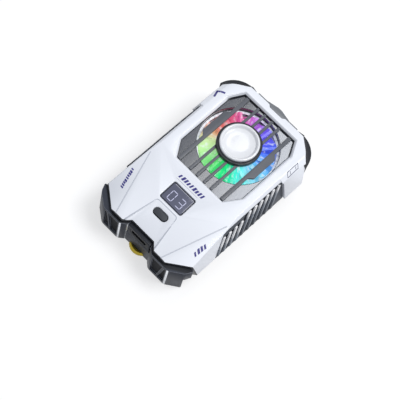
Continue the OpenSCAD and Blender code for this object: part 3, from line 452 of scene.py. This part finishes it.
def lit_rainbow(name, strength, body, rough):
    """Frosted plastic with a painted glow for the light of a ring of coloured lamps below it, and pale and
    dark rays painted in as highlights and blade shade.
    """
    s = Shader(name)
    x, dy, reach, turn = polar(s)
    hue = s.ramp(turn, [(t, srgb(*[255 * c for c in rgb])) for t, rgb in RAINBOW])
    round_x, round_y = (s.times(s.over(d, reach), 6.5) for d in (x, dy))
    rays = s.noise(1.0, 4.0, 0.6, at=s.joined(round_x, round_y, s.times(reach, 200.0)))
    cloud = s.noise(1.0, 4.0, 0.6, at=s.stretched(520, 520, 900, 0.6))
    streak = s.plus(s.times(rays, 0.65), s.times(cloud, 0.35))
    pale = s.ranged(streak, 0.0, 0.85, 0.51, 0.63, True)
    dark = s.ranged(streak, 0.45, 0.0, 0.34, 0.46, True)
    glow = s.mixed(pale, hue, (0.86, 0.92, 0.96, 1.0))
    glow = s.mixed(dark, glow, srgb(20, 20, 40))
    s.set(Base_Color=s.mixed(0.75, hue, srgb(*body), "MULTIPLY"),
          Roughness=s.ranged(streak, rough * 0.7, rough * 1.3),
          Emission_Color=glow, Normal=s.bump(streak, 0.25, 100e-6))
    s.set(Emission_Strength=strength, Coat_Weight=0.2, Coat_Roughness=0.1)
    return s.mat


def light_white():
    """The light ring: white diffuser with brighter dashes where its lamps sit."""
    s = Shader("light_white")
    turn = polar(s)[-1]
    cloud = s.noise(700.0, 4.0)
    uneven = s.plus(s.times(turn, 46.0), cloud)
    dash = s.above(s.op("FRACT", uneven), 0.4)
    s.set(Base_Color=s.mixed(cloud, srgb(214, 222, 232), srgb(244, 247, 250)),
          Roughness=s.ranged(cloud, 0.25, 0.4), Normal=s.bump(cloud, 0.2, 20e-6),
          Emission_Color=s.mixed(dash, srgb(186, 193, 208), srgb(240, 245, 255)))
    s.set(Emission_Strength=0.42)
    return s.mat


def grille_grey():
    """Grey bars that darken to near black at the hub's ring."""
    s = Shader("grille_grey")
    reach = polar(s)[2]
    near = s.ranged(reach, 1.0, 0.0, HUB_RING[0] * MM, HUB_RING[1] * MM, True)
    fleck = s.noise(2000.0, 3.0, 0.6)
    bars = s.mixed(s.noise(120.0, 3.0), srgb(90, 93, 99), srgb(104, 107, 114))
    s.set(Base_Color=s.mixed(near, bars, srgb(40, 43, 48)),
          Roughness=s.ranged(s.noise(300.0, 4.0), 0.26, 0.42), Normal=s.bump(fleck, 0.3, 15e-6))
    s.set(Specular_IOR_Level=0.25)
    return s.mat


def display_glass():
    """Dark glass with faint smears."""
    s = Shader("display_glass")
    cloud = s.noise(150.0, 4.0)
    smear = s.noise(1.0, 5.0, 0.6, at=s.stretched(160, 700, 700, 0.5))
    s.set(Base_Color=s.mixed(cloud, srgb(84, 87, 106), srgb(94, 97, 118)),
          Roughness=s.ranged(smear, 0.12, 0.24), Normal=s.bump(cloud, 0.05, 10e-6))
    s.set(Specular_IOR_Level=0.3, Coat_Weight=0.2, Coat_Roughness=0.08)
    return s.mat


def digit_light():
    """Lit segments of the readout, a little uneven."""
    s = Shader("digit_light")
    colour = srgb(198, 200, 226)
    cloud = s.noise(1500.0, 2.0)
    s.set(Base_Color=s.mixed(cloud, scaled(colour, 0.85), colour), Roughness=s.ranged(cloud, 0.3, 0.5),
          Emission_Color=s.mixed(cloud, scaled(colour, 0.9), colour))
    s.set(Emission_Strength=0.2)
    return s.mat


def fin_painted_light():
    """Louvres with painted light, bright at their tops and in painted shade lower down; the front ones are
    shorter.
    """
    s = Shader("fin_painted_light")
    _, y, z = s.xyz()
    foot = s.minus(y, s.times(z, LOUVRE_LEAN))
    short = s.below(foot, SHORT_LOUVRES * MM)
    height = s.plus(z, s.times(short, 4 * MM))
    climb = s.ranged(height, 0.0, 1.0, 2.5 * MM, 12.2 * MM)
    lines = s.noise(1.0, 3.0, 0.6, at=s.stretched(900, 900, 60))
    tone = s.ramp(climb, [(0.0, srgb(60, 64, 72)), (0.35, srgb(104, 110, 120)), (0.65, srgb(142, 148, 158)),
                          (0.85, srgb(252, 252, 253))])
    s.set(Base_Color=s.mixed(s.ranged(lines, 0.0, 0.25), tone, srgb(150, 156, 166)),
          Roughness=s.ranged(lines, 0.35, 0.55), Normal=s.bump(lines, 0.2, 10e-6))
    return s.mat


PLASTICS = {
    "shell_white": dict(colour=(236, 239, 246), rough=0.34, tint=0.02, grain=1500.0, depth=12e-6, coat=0.2,
                        gloss=0.4, shade=cover_painted_shade),
    "frame_dark": dict(colour=(58, 60, 65), rough=0.5, tint=0.1, grain=1700.0, depth=30e-6, gloss=0.25),
    "jaw_grey": dict(colour=(58, 62, 72), rough=0.4, tint=0.1, depth=15e-6, gloss=0.15),
    "jaw_top": dict(colour=(58, 62, 72), rough=0.5, tint=0.1, depth=15e-6, gloss=0.15, shade=shadow_by_the_cover),
    # Painted shade on the floors of the jaw's pockets
    "pocket_dark": dict(colour=(24, 26, 31), rough=0.6, tint=0.14, grain=1700.0, gloss=0.08),
    # Painted shade: the port's housing under the jaw, darker than the jaw
    "port_dark": dict(colour=(40, 43, 50), rough=0.45, tint=0.1, depth=15e-6, gloss=0.12),
    "vent_grey": dict(colour=(72, 76, 84), rough=0.45, tint=0.1, depth=15e-6, gloss=0.2),
    "insert_grey": dict(colour=(118, 121, 126), rough=0.4, tint=0.07, grain=1700.0, gloss=0.3),
    "trim_black": dict(colour=(40, 42, 47), rough=0.36, tint=0.14, grain=1700.0, gloss=0.2),
    "key_black": dict(colour=(62, 65, 71), rough=0.42, tint=0.1, grain=2400.0, depth=15e-6, gloss=0.25),
    "cap_white": dict(colour=(228, 230, 234), rough=0.22, tint=0.02, grain=1500.0, depth=8e-6, coat=0.5),
    "display_body": dict(colour=(120, 121, 125), rough=0.5, tint=0.08),
    "motor_metal": dict(colour=(92, 93, 97), rough=0.4, tint=0.12, grain=1400.0, depth=30e-6),
    "ceramic": dict(colour=(235, 234, 228), rough=0.6, tint=0.03, grain=3000.0),
    "ink_navy": dict(colour=(44, 40, 122), rough=0.45, tint=0.12, grain=2600.0, depth=10e-6),
    "ink_grey": dict(colour=(166, 168, 180), rough=0.45, tint=0.08, grain=2600.0, depth=10e-6),
    "ink_slate": dict(colour=(104, 108, 126), rough=0.45, tint=0.08, grain=2600.0, depth=10e-6),
    "seam_grey": dict(colour=(182, 187, 198), rough=0.5, tint=0.08, grain=2600.0, depth=10e-6),
}
METALS = {
    "magnet": dict(colour=(60, 60, 62), rough=0.5, along="z", metal=0.6),
    "pellet": dict(colour=(120, 120, 126), rough=0.45, along="z", metal=0.8),
    "cold_metal": dict(colour=(214, 216, 219), rough=0.3, along="y", tint=0.06),
    "steel": dict(colour=(196, 198, 202), rough=0.26, along="y", tint=0.08),
    # Painted shade: dark steel for the USB socket inside its port
    "steel_dark": dict(colour=(34, 35, 39), rough=0.45, along="y", metal=0.5, tint=0.1),
    "screw_steel": dict(colour=(186, 187, 191), rough=0.24, along="x", tint=0.08),
    "brass": dict(colour=(214, 178, 98), rough=0.28, along="y", tint=0.08),
}
LIT = {
    "rotor_clear": dict(strength=0.72, body=(120, 124, 130), rough=0.3),
    "lamp_ivory": dict(strength=1.0, body=(200, 196, 180), rough=0.2),
    "lamp_board": dict(strength=0.6, body=(60, 64, 72), rough=0.4),
}
SINGLE = (rubber_black, panel_grey, edge_highlight, jaw_glint, pad_blue, board_green, copper, tab_gold, fin_painted_light,
          light_white, grille_grey, display_glass, digit_light)
mats = {}
for maker, table in ((moulded, PLASTICS), (brushed, METALS), (lit_rainbow, LIT)):
    mats.update({name: maker(name, **looks) for name, looks in table.items()})
mats.update({maker.__name__: maker() for maker in SINGLE})

# Nodes whose look differs from that of their slot; the USB socket's steel is darkened as painted shade
OWN_LOOK = {"led_board": "lamp_board", "usb_socket": "steel_dark"}


def dress(obj, mat):
    """Gives an object one material all over."""
    if not obj.material_slots:
        obj.data.materials.append(mat)
    for s in obj.material_slots:
        s.material = mat


for n, o in nodes.items():
    dress(o, mats[OWN_LOOK.get(n, slot_of[n])])


# Making pieces

def meshed(name, bm):
    mesh = bpy.data.meshes.new(name)
    bm.to_mesh(mesh)
    bm.free()
    return mesh


def piece(name, mesh, mat, body, node=None):
    """A new piece of the part; node is the solid that it stands for, if there is one."""
    obj = bpy.data.objects.new(name, mesh)
    bpy.context.scene.collection.objects.link(obj)
    dress(obj, mat)
    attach(obj, body)
    if node:
        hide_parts(node)
    return obj


def band(bm, a, b):
    """Faces between two closed rows of points."""
    count = len(a)
    for i in range(count):
        bm.faces.new((a[i], a[(i + 1) % count], b[(i + 1) % count], b[i]))


# Rounded edges: copies of the solids whose corners are eased, as moulded corners are

WELD = 2e-6                        # points closer than this, in metres, are one
FLAT = math.radians(0.6)           # faces that meet at less than this are one
ROOM = 0.42                        # share of the gap to the next edge that an eased corner may take


def reach_between(a, b):
    """Least distance between two edges, ignoring what lies along the first one."""
    p, q = (v.co for v in a.verts)
    r, t = (v.co for v in b.verts)
    run = (q - p).normalized()
    least = 1.0
    for k in (0.0, 0.25, 0.5, 0.75, 1.0):
        at = p.lerp(q, k)
        f = max(0.0, min(1.0, (at - r).dot(t - r) / max((t - r).length_squared, 1e-16)))
        gap = r.lerp(t, f) - at
        if abs(gap.dot(run)) < 0.7 * gap.length:
            least = min(least, gap.length)
    return least


def eased(name, width, segments=2, angle=24.0, own=None, edge=None, others=(), paint=None,
          broad=0.0, wide=None):
    """A copy of a solid with eased corners, narrower where two of its edges run close together.

    Corners sharper than angle are eased by width in mm, and those that wide picks by broad. paint picks
    a material for a face: 0 is own or else the slot's, then comes edge if there is one, then others."""
    most = max(width, broad)
    bm = bmesh.new()
    bm.from_mesh(nodes[name].data)
    bmesh.ops.remove_doubles(bm, verts=bm.verts, dist=WELD)
    bmesh.ops.dissolve_limit(bm, angle_limit=FLAT, verts=bm.verts, edges=bm.edges)
    weight = bm.edges.layers.float.new("bevel_weight_edge")
    limit = math.radians(angle)
    sharp = {e for e in bm.edges if len(e.link_faces) == 2 and e.calc_face_angle(0.0) > limit}
    for e in sharp:
        room = (broad if wide and wide(e) else width) * MM
        for f in e.link_faces:
            for g in f.edges:
                if g is not e and g in sharp and not set(g.verts) & set(e.verts):
                    room = min(room, ROOM * reach_between(e, g))
        e[weight] = room / (most * MM)
    for f in bm.faces:
        f.smooth = True
        if paint:
            f.material_index = paint(f)
    mesh = meshed(name + "_eased", bm)
    obj = piece(name + "_eased", mesh, mats[own or slot_of[name]], body_of[name], name)
    bevel = obj.modifiers.new("easing", "BEVEL")
    bevel.width = most * MM
    bevel.segments = segments
    bevel.limit_method = "WEIGHT"
    bevel.use_clamp_overlap = False
    bevel.harden_normals = True
    if edge:
        mesh.materials.append(mats[edge])
        bevel.material = 1
    for mat in others:
        mesh.materials.append(mats[mat])
    return obj


JAW_EDGE, JAW_OTHERS = "edge_highlight", ("pocket_dark", "jaw_top", "jaw_glint")
OWN, POCKET, TOP, GLINT = 0, 2, 3, 4     # places of the jaw's materials; its eased edges have 1


def jaw_paint(f):
    """Pockets in painted shade, high upward faces with the painted shadow band by the cover, the narrow
    upright chamfers with painted highlights.
    """
    n, at = f.normal, f.calc_center_median() / MM
    if abs(n.z) > 0.2:
        return TOP if n.z > 0.9 and at.z > 5 else OWN
    if (n.y < -0.99 and POCKET_X[0] < abs(at.x) < POCKET_X[1] and POCKET_Y[0] < at.y < POCKET_Y[1]
            and len(f.verts) < 9):
        return POCKET
    across = f.calc_area() / (MM * MM * JAW_HEIGHT)
    return GLINT if across < JAW_CHAMFER and n.y < -0.3 and 0.15 < abs(n.x) < 0.95 else OWN


def rim_corner(e):
    """The long outer edges where the cover's rim rolls over into its walls."""
    a, b = (v.co / MM for v in e.verts)
    faces = sorted(e.link_faces, key=lambda f: f.normal.z)
    return (min(abs(a.x), abs(b.x)) > RIM_X and min(a.y, b.y) > RIM_Y and min(a.z, b.z) > RIM_Z
            and abs(faces[0].normal.x) > 0.5 and faces[1].normal.z > 0.7)


def vent_paint(side, outer=0.3, plate=0.02):
    """Louvres take painted light on their outer sides, the right ones on their front and top sides too.

    outer and plate are heights over the vent's plate in mm: louvres' outer sides lie above the first,
    and all their sides above the second."""
    out = Vector((side * math.cos(FLANK), 0, math.sin(FLANK)))
    up = Vector((-side * math.sin(FLANK), 0, math.cos(FLANK)))
    ahead = (0.48 * up - Vector((0, 0.876, 0))).normalized()
    foot = Vector((side * FLANK_FOOT[0], *FLANK_FOOT[1:])) * MM

    def pick(f):
        proud = (f.calc_center_median() - foot).dot(out) / MM
        return int(proud > outer or (side > 0 and proud > plate and f.normal.dot(ahead) > 0.4))
    return pick


eased("top_shell", 0.28, 3, broad=0.9, wide=rim_corner)
eased("front_jaw", 0.16, angle=20.0, edge=JAW_EDGE, others=JAW_OTHERS, paint=jaw_paint)
for n, side in (("side_vent_left", -1), ("side_vent_right", 1)):
    eased(n, 0.1, own="vent_grey", others=["fin_painted_light"], paint=vent_paint(side))
eased("port_housing", 0.1, own="port_dark")
for n, w in (("base_frame", 0.15), ("rear_hook", 0.2), ("rear_bumper_left", 0.25),
             ("rear_bumper_right", 0.25), ("rear_insert", 0.2), ("fan_grille", 0.1), ("button", 0.25),
             ("display_window", 0.15), ("cold_plate", 0.15)):
    eased(n, w)
for n, w in (("jaw_pad", 0.12), ("rear_pad", 0.12), ("thermal_pad", 0.15)):
    eased(n, w)


def sprung(name):
    """A copy of the coil springs, with a mesh of its own."""
    slot = slot_of[name]
    obj = piece(name + "_coil", nodes[name].data.copy(), mats[slot], body_of[name], name)
    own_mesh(obj)


sprung("jaw_springs")


# Turned and rounded pieces

def solid(name, rings, node, slot):
    """A closed skin over rings of points in mm, capped at both ends, that stands for a solid."""
    bm = bmesh.new()
    rows = [[bm.verts.new(Vector(p) * MM) for p in ring] for ring in rings]
    for a, b in zip(rows, rows[1:]):
        band(bm, a, b)
    bm.faces.new(list(reversed(rows[0])))
    bm.faces.new(rows[-1])
    bmesh.ops.recalc_face_normals(bm, faces=bm.faces)
    for f in bm.faces:
        f.smooth = len(f.verts) == 4
    piece(name, meshed(name, bm), mats[slot], body_of[node], node)


def circle(radius, step):
    """Points round the fan's axis, in mm, one for every step in degrees."""
    return [(radius * math.cos(math.radians(a)), FAN.y / MM + radius * math.sin(math.radians(a)))
            for a in range(0, 360, step)]


def turned_cap(round_off=0.6, rim=0.75, wall=1.3, depth=1.25):
    """The hub's cap: a rounded rim round a shallow bowl with soft walls."""
    lo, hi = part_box("hub_cap")
    r, top, low = (hi.x - lo.x) / 2 / MM, hi.z / MM, lo.z / MM
    profile = [(r, low), (r, top - round_off)]
    for a in (22, 45, 68, 90):
        profile.append((r - round_off + round_off * math.cos(math.radians(a)),
                        top - round_off + round_off * math.sin(math.radians(a))))
    for i in range(9):
        k = i / 8
        profile.append((r - rim - wall * k, top - depth * (3 * k * k - 2 * k ** 3)))
    profile += [(r * 0.4, top - depth + 0.04), (0.3, top - depth + 0.08)]
    solid("hub_cap_bowl", [[(*p, z) for p in circle(q, 5)] for q, z in profile], "hub_cap", "cap_white")


def rounded_tab(steps=36, around=10, groove_depth=0.1, groove_pitch=4):
    """The pull tab: a bow with a full round rim and shallow finger grooves."""
    lo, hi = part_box("pull_tab")
    w, out, back = (hi.x - lo.x) / MM, (hi.y - lo.y) / MM, hi.y / MM
    r = (w * w / 4 + out * out) / (2 * out)
    half = math.asin(w / 2 / r)
    mid, thick = (lo.z + hi.z) / 2 / MM, (hi.z - lo.z) / 2 / MM
    rings = []
    for i in range(steps + 1):
        t = half * (2 * i / steps - 1)
        groove = groove_depth * (0.5 - 0.5 * math.cos(2 * math.pi * i / groove_pitch))
        ring = []
        for j in range(around + 1):
            a = math.pi * (j / around - 0.5)
            q = r - thick - groove * math.cos(a) + thick * math.cos(a)
            ring.append((q * math.sin(t), back - out + r - q * math.cos(t), mid + thick * math.sin(a)))
        ring += [(ring[-1][0], back, ring[-1][2]), (ring[0][0], back, ring[0][2])]
        rings.append(ring)
    solid("pull_tab_round", rings, "pull_tab", "tab_gold")


turned_cap()
rounded_tab()


# Thin raised pieces: digits, marks and bands

SUNK = -0.05       # how deep their feet go into what carries them, in mm


def basis(origin, right, normal):
    """A frame on a face: x along right, z along the face's normal."""
    z = Vector(normal).normalized()
    x = (Vector(right) - Vector(right).dot(z) * z).normalized()
    m = Matrix((x, z.cross(x), z)).transposed().to_4x4()
    m.translation = Vector(origin) * MM
    return m


def plates(name, outlines, at, height, mat, taper=0.93):
    """Low plates with chamfered rims on one face; outlines are in mm in the frame at."""
    bm = bmesh.new()
    for outline in outlines:
        mid = sum((Vector(p) for p in outline), Vector((0, 0))) / len(outline)
        rings = []
        for lift, k in ((SUNK, 1.0), (height - 0.4 * height, 1.0), (height, taper)):
            rings.append([bm.verts.new(at @ Vector(((mid.x + (p[0] - mid.x) * k) * MM,
                                                    (mid.y + (p[1] - mid.y) * k) * MM, lift * MM)))
                          for p in outline])
        for a, b in zip(rings, rings[1:]):
            band(bm, a, b)
        bm.faces.new(rings[-1])
        bm.faces.new(list(reversed(rings[0])))
    piece(name, meshed(name, bm), mats[mat], "cooler")


def hoop(name, outer, inner, at, low, high):
    """A flat black band between two outlines in mm in the frame at, with square edges; round the display and
    the panel's edge it is painted shadow.
    """
    bm = bmesh.new()
    loops = [[bm.verts.new(at @ (Vector((*p, z)) * MM)) for p in line]
             for line, z in ((outer, low), (outer, high), (inner, high), (inner, low))]
    for a, b in zip(loops, loops[1:] + loops[:1]):
        band(bm, a, b)
    bmesh.ops.recalc_face_normals(bm, faces=bm.faces)
    piece(name, meshed(name, bm), mats["trim_black"], "cooler")


def rounded(w, l, r, steps=4):
    """A rectangle with round corners, in mm."""
    line = []
    for i, (sx, sy) in enumerate(((1, 1), (-1, 1), (-1, -1), (1, -1))):
        for k in range(steps + 1):
            a = math.radians(90 * (i + k / steps))
            line.append((sx * (w / 2 - r) + r * math.cos(a), sy * (l / 2 - r) + r * math.sin(a)))
    return line


def grown(line, d):
    """An outline moved outwards by d, for outlines that run anticlockwise."""
    out = []
    for i, p in enumerate(line):
        a, b, c = Vector(line[i - 1]), Vector(p), Vector(line[(i + 1) % len(line)])
        m, n = (b - a).normalized(), (c - b).normalized()
        m, n = Vector((m.y, -m.x)), Vector((n.y, -n.x))
        out.append(tuple(b + (m + n) * d / (1 + m.dot(n))))
    return out


def glass_frame():
    """A frame on the display's face, and the face's width and length in mm."""
    lo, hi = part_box("display_window")
    mid = Vector(((lo.x + hi.x) / 2, (lo.y + hi.y) / 2, (lo.z + hi.z) / 2)) / MM
    n = SLOPE.normalized()
    top = max(v.co.dot(n) for v in nodes["display_window"].data.vertices) / MM
    at = basis(mid + SLOPE * (top - mid.dot(SLOPE)), (1, 0, 0), SLOPE)
    return at, (hi.x - lo.x) / MM, (hi.y - lo.y) / MM / math.cos(NOSE)


def display_rim(at, w, l, line=0.26):
    """A black band of painted shadow at the display's sunk edge, and painted highlights inside its rear and
    right edges.
    """
    hoop("display_edge_shadow", rounded(w - 0.3, l - 0.5, 0.5), rounded(w - 1.0, l - 1.2, 0.4), at, -0.04, 0.03)
    x, y = w / 2 - 0.54, l / 2 - 0.64
    rear = [(-x + 0.6, y - line), (x - 0.3, y - line), (x - 0.3, y), (-x + 0.6, y)]
    right = [(x - line, -y + 1.2), (x, -y + 1.2), (x, y - 0.3), (x - line, y - 0.3)]
    plates("display_glint", [rear, right], at, 0.03, "ink_grey", taper=1.0)


def panel_rims():
    """A black band of painted shadow round the panel, wider at the back, and the lip of the panel's hole for
    the fan.
    """
    window = WINDOW_HALF + [(-x, y) for x, y in reversed(WINDOW_HALF)]
    deck = Matrix.Translation((0, 0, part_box("deck_panel")[1].z))
    inner = [(x, y - (0.1 if y > 30 else 0.0)) for x, y in grown(window, -0.28)]
    hoop("panel_gap_shadow", grown(window, -0.02), inner, deck, -0.04, 0.05)
    hole = min((Vector((v.co.x, v.co.y)) - FAN.xy).length for v in nodes["deck_panel"].data.vertices
               if v.co.z > deck.translation.z - 0.1 * MM) / MM
    hoop("panel_lip", circle(hole + 0.2, 3), circle(hole + 0.01, 3), deck, -0.04, 0.03)


# Segments of a digit: where they lie in half widths and half heights, and whether they stand upright
SEGMENTS = {"a": (0, 1, 0), "b": (1, 0.5, 1), "c": (1, -0.5, 1), "d": (0, -1, 0), "e": (-1, -0.5, 1),
            "f": (-1, 0.5, 1), "g": (0, 0, 0)}
DIGITS = {"0": "abcdef", "3": "abcdg"}


def digit(value, x, y, w=2.5, h=4.3, t=0.32):
    """Outlines of a digit's lit segments about a middle, in mm; t is their thickness."""
    shapes = []
    for key in DIGITS[value]:
        sx, sy, upright = SEGMENTS[key]
        cx, cy = x + sx * w / 2, y + sy * h / 2
        half = (h / 4 if upright else w / 2) - t * 0.85
        tip = t / 2
        run = [(-half - tip, 0), (-half, -tip), (half, -tip), (half + tip, 0), (half, tip), (-half, tip)]
        shapes.append([(cx - q, cy + p) if upright else (cx + p, cy + q) for p, q in run])
    return shapes


on_glass, glass_width, glass_length = glass_frame()
display_rim(on_glass, glass_width, glass_length)
panel_rims()
plates("digits", digit("0", -2.47, -0.75) + digit("3", 2.47, -0.75), on_glass, 0.03,
       "digit_light")


def hash_marks(count, length, height, lean, fill):
    """A row of slanted bars of uneven width, standing for a printed line."""
    pitch = length / count
    rows = []
    for i in range(count):
        w = pitch * fill * (0.75 + 0.25 * ((i * 3) % 4) / 3)
        x = i * pitch + 0.1
        tall = height * (1.0 if i % 3 else 0.86)
        rows.append([(x, 0), (x + w, 0), (x + w + lean * tall, tall), (x + lean * tall, tall)])
    return rows


def mark(name, start, end, normal, shapes, mat="ink_navy"):
    """Print on the cover along a line, on a face with that normal."""
    plates(name, shapes, basis(start, end - start, normal), 0.035, mat)


def slope_at(x, y):
    """A place on the nose."""
    return Vector((x, y, FRONT_TOP + NOSE_RISE * (y - FRONT) / NOSE_RUN))


RIGHT = Vector((0.1884, -0.1848, 0.9645)).normalized()      # normals of the facets beside the nose
LEFT = Vector((-RIGHT.x, RIGHT.y, RIGHT.z))


def facet_at(x, y):
    """A place on the facet to the right or left of the nose."""
    n = RIGHT if x > 0 else LEFT
    c = Vector((math.copysign(CREASE, x), FRONT, FRONT_TOP))
    return Vector((x, y, c.z - ((x - c.x) * n.x + (y - c.y) * n.y) / n.z))


mark("mark_centre", slope_at(-7.0, -7.6), slope_at(7.6, -7.6), SLOPE, hash_marks(9, 14.4, 1.9, 0.35, 0.72))
mark("line_centre", slope_at(-7.0, -8.5), slope_at(7.0, -8.5), SLOPE,
     [[(0, 0), (12.5, 0), (12.6, 0.16), (0.1, 0.16)]], "ink_grey")
mark("mark_left", facet_at(-23.2, -18.3), facet_at(-20.4, -28.2), LEFT, hash_marks(9, 10.0, 1.4, 0.35, 0.82))
mark("mark_right", facet_at(22.8, -26.6), facet_at(23.5, -19.9), RIGHT, hash_marks(4, 6.8, 2.0, 0.5, 0.7))


# Fine lines laid over the cover: grey lines along its creases and round the key's facet, and drawn outlines

cover = BVHTree.FromPolygons([v.co for v in nodes["top_shell"].data.vertices],
                             [f.vertices for f in nodes["top_shell"].data.polygons])
ABOVE = 40         # a height above the cover, in mm
PROUD = 0.02       # how far the lines stand up from it, in mm


def draped(name, lines, width, mat, step=0.5):
    """Thin bands in mm of plan, laid over the cover whatever way it slopes."""
    bm = bmesh.new()
    for line in lines:
        for a, b in zip(line, line[1:]):
            a, b = Vector(a), Vector(b)
            run = (b - a).normalized() * width / 2
            side = Vector((-run.y, run.x))
            count = max(1, math.ceil((b - a).length / step))
            rows = []
            for i in range(count + 1):
                at = (a - run * 0.9).lerp(b + run * 0.9, i / count)
                row = []
                for edge in (side, -side):
                    x, y = at + edge
                    hit, normal, _, _ = cover.ray_cast(Vector((x, y, ABOVE)) * MM, Vector((0, 0, -1)))
                    row += [hit + normal * PROUD * MM, hit + normal * SUNK * MM]
                rows.append([bm.verts.new(row[k]) for k in (0, 2, 3, 1)])
            for p, q in zip(rows, rows[1:]):
                band(bm, p, q)
            bm.faces.new(rows[0])
            bm.faces.new(list(reversed(rows[-1])))
    bmesh.ops.recalc_face_normals(bm, faces=bm.faces)
    piece(name, meshed(name, bm), mats[mat], "cooler")


def corner_arc(x, y, radius, start, end, steps=5):
    """Points on an arc between two angles in degrees."""
    angles = [math.radians(start + (end - start) * i / steps) for i in range(steps + 1)]
    return [(x + radius * math.cos(a), y + radius * math.sin(a)) for a in angles]


key_facet_line = ([(-8.95, -36.2), (-6.1, -21.6)] + corner_arc(-4.75, -21.6, 1.3, 170, 90)
                  + corner_arc(4.75, -21.6, 1.3, 90, 10) + [(8.95, -36.2)])
draped("key_facet_outline", [key_facet_line], 0.36, "seam_grey")
draped("crease_lines", [[(side * 13.45, -36.8), (side * 22.7, -8.4)] for side in (-1, 1)], 0.5,
       "seam_grey")
draped("mark_rear_left", [[(-23.2, 30.6), (-24.1, 33.4), (-21.3, 34.8)]], 0.9, "ink_navy")
draped("mark_rear_right", [[(23.0, 28.2), (24.7, 27.0), (24.6, 33.5), (23.0, 34.7), (23.0, 28.2)],
                           [(23.5, 29.6), (24.3, 29.0)], [(23.5, 33.0), (24.2, 32.4)]], 0.26,
       "ink_slate")


# Stage: pale floor, white surroundings, soft lights, camera

def shown(t):
    """1 for rays that show the surroundings: the camera's own, reflected and refracted ones."""
    path = t.nodes.new("ShaderNodeLightPath")
    value = path.outputs["Is Camera Ray"]
    for kind in ("Is Glossy Ray", "Is Transmission Ray"):
        more = t.nodes.new("ShaderNodeMath")
        more.operation = "MAXIMUM"
        t.links.new(value, more.inputs[0])
        t.links.new(path.outputs[kind], more.inputs[1])
        value = more.outputs[0]
    return value


def emptied(owner):
    """The node tree of a material or a world, with nothing in it."""
    owner.use_nodes = True
    owner.node_tree.nodes.clear()
    return owner.node_tree


def plain(t, kind, colour, strength=None):
    """A shader node of one colour."""
    n = t.nodes.new(kind)
    n.inputs[0].default_value = (*colour, 1)
    if strength is not None:
        n.inputs[1].default_value = strength
    return n.outputs[0]


def shown_as(t, kind, lighting, seen):
    """Ends a tree with one shader for the rays that light the object and another for those that show it."""
    out = t.nodes.new(kind)
    pick = t.nodes.new("ShaderNodeMixShader")
    for socket, value in zip(pick.inputs, (shown(t), lighting, seen)):
        t.links.new(value, socket)
    t.links.new(pick.outputs[0], out.inputs[0])


def stage_floor():
    bpy.ops.mesh.primitive_plane_add(size=6.0, location=(0, 0, cad_box[0][2] - 0.05 * MM))
    floor = bpy.context.object
    floor.name = "floor"
    mat = bpy.data.materials.new("floor_pale")
    t = emptied(mat)
    both = t.nodes.new("ShaderNodeAddShader")
    t.links.new(plain(t, "ShaderNodeBsdfDiffuse", (0.42, 0.42, 0.425)), both.inputs[0])
    t.links.new(plain(t, "ShaderNodeEmission", (1, 1, 1), 0.62), both.inputs[1])
    bounce = plain(t, "ShaderNodeBsdfDiffuse", (0.45, 0.45, 0.455))
    shown_as(t, "ShaderNodeOutputMaterial", bounce, both.outputs[0])
    floor.data.materials.append(mat)


def stage_world():
    world = bpy.data.worlds.new("studio")
    bpy.context.scene.world = world
    t = emptied(world)
    fill = plain(t, "ShaderNodeBackground", (0.88, 0.92, 1.0), 0.42)
    white = plain(t, "ShaderNodeBackground", (1, 1, 1), 1.0)
    shown_as(t, "ShaderNodeOutputWorld", fill, white)


def softbox(name, place, aim, size, power, colour=(1, 1, 1)):
    data = bpy.data.lights.new(name, "AREA")
    data.shape = "RECTANGLE"
    data.size, data.size_y = size
    data.energy = power
    data.color = colour
    lamp = bpy.data.objects.new(name, data)
    bpy.context.scene.collection.objects.link(lamp)
    lamp.location = place
    lamp.rotation_euler = (Vector(aim) - Vector(place)).to_track_quat("-Z", "Y").to_euler()


# The camera's angles in degrees, what it looks at, and its distance from there in mm
AZIMUTH, ELEVATION, ROLL = 27.763, 66.219, 18.76
TARGET, DISTANCE = (4.054, -2.898, 0.0), 533


def stage_camera():
    a, e, r = (math.radians(angle) for angle in (AZIMUTH, ELEVATION, ROLL))
    back = Vector((math.sin(a) * math.cos(e), -math.cos(a) * math.cos(e), math.sin(e)))
    right = Vector((math.cos(a), math.sin(a), 0))
    up = back.cross(right)
    tilted = math.cos(r) * right + math.sin(r) * up
    upward = math.cos(r) * up - math.sin(r) * right
    data = bpy.data.cameras.new("camera")
    data.lens = 112.209
    data.sensor_width = 36.0
    data.clip_start = 0.01
    cam = bpy.data.objects.new("camera", data)
    bpy.context.scene.collection.objects.link(cam)
    m = Matrix((tilted, upward, back)).transposed().to_4x4()
    m.translation = Vector(TARGET) * MM + back * (DISTANCE * MM)
    cam.matrix_world = m
    bpy.context.scene.camera = cam


stage_floor()
stage_world()
softbox("key", (0.594, 0.576, 1.60), (0, 0, 0), (0.8, 0.8), 22.0, (1, 0.995, 0.985))
softbox("strip", (-0.134, 0.44, 0.9), (-0.134, 0.44, 0), (0.162, 0.244), 0.58)
stage_camera()
bpy.context.scene.view_settings.view_transform = "Standard"
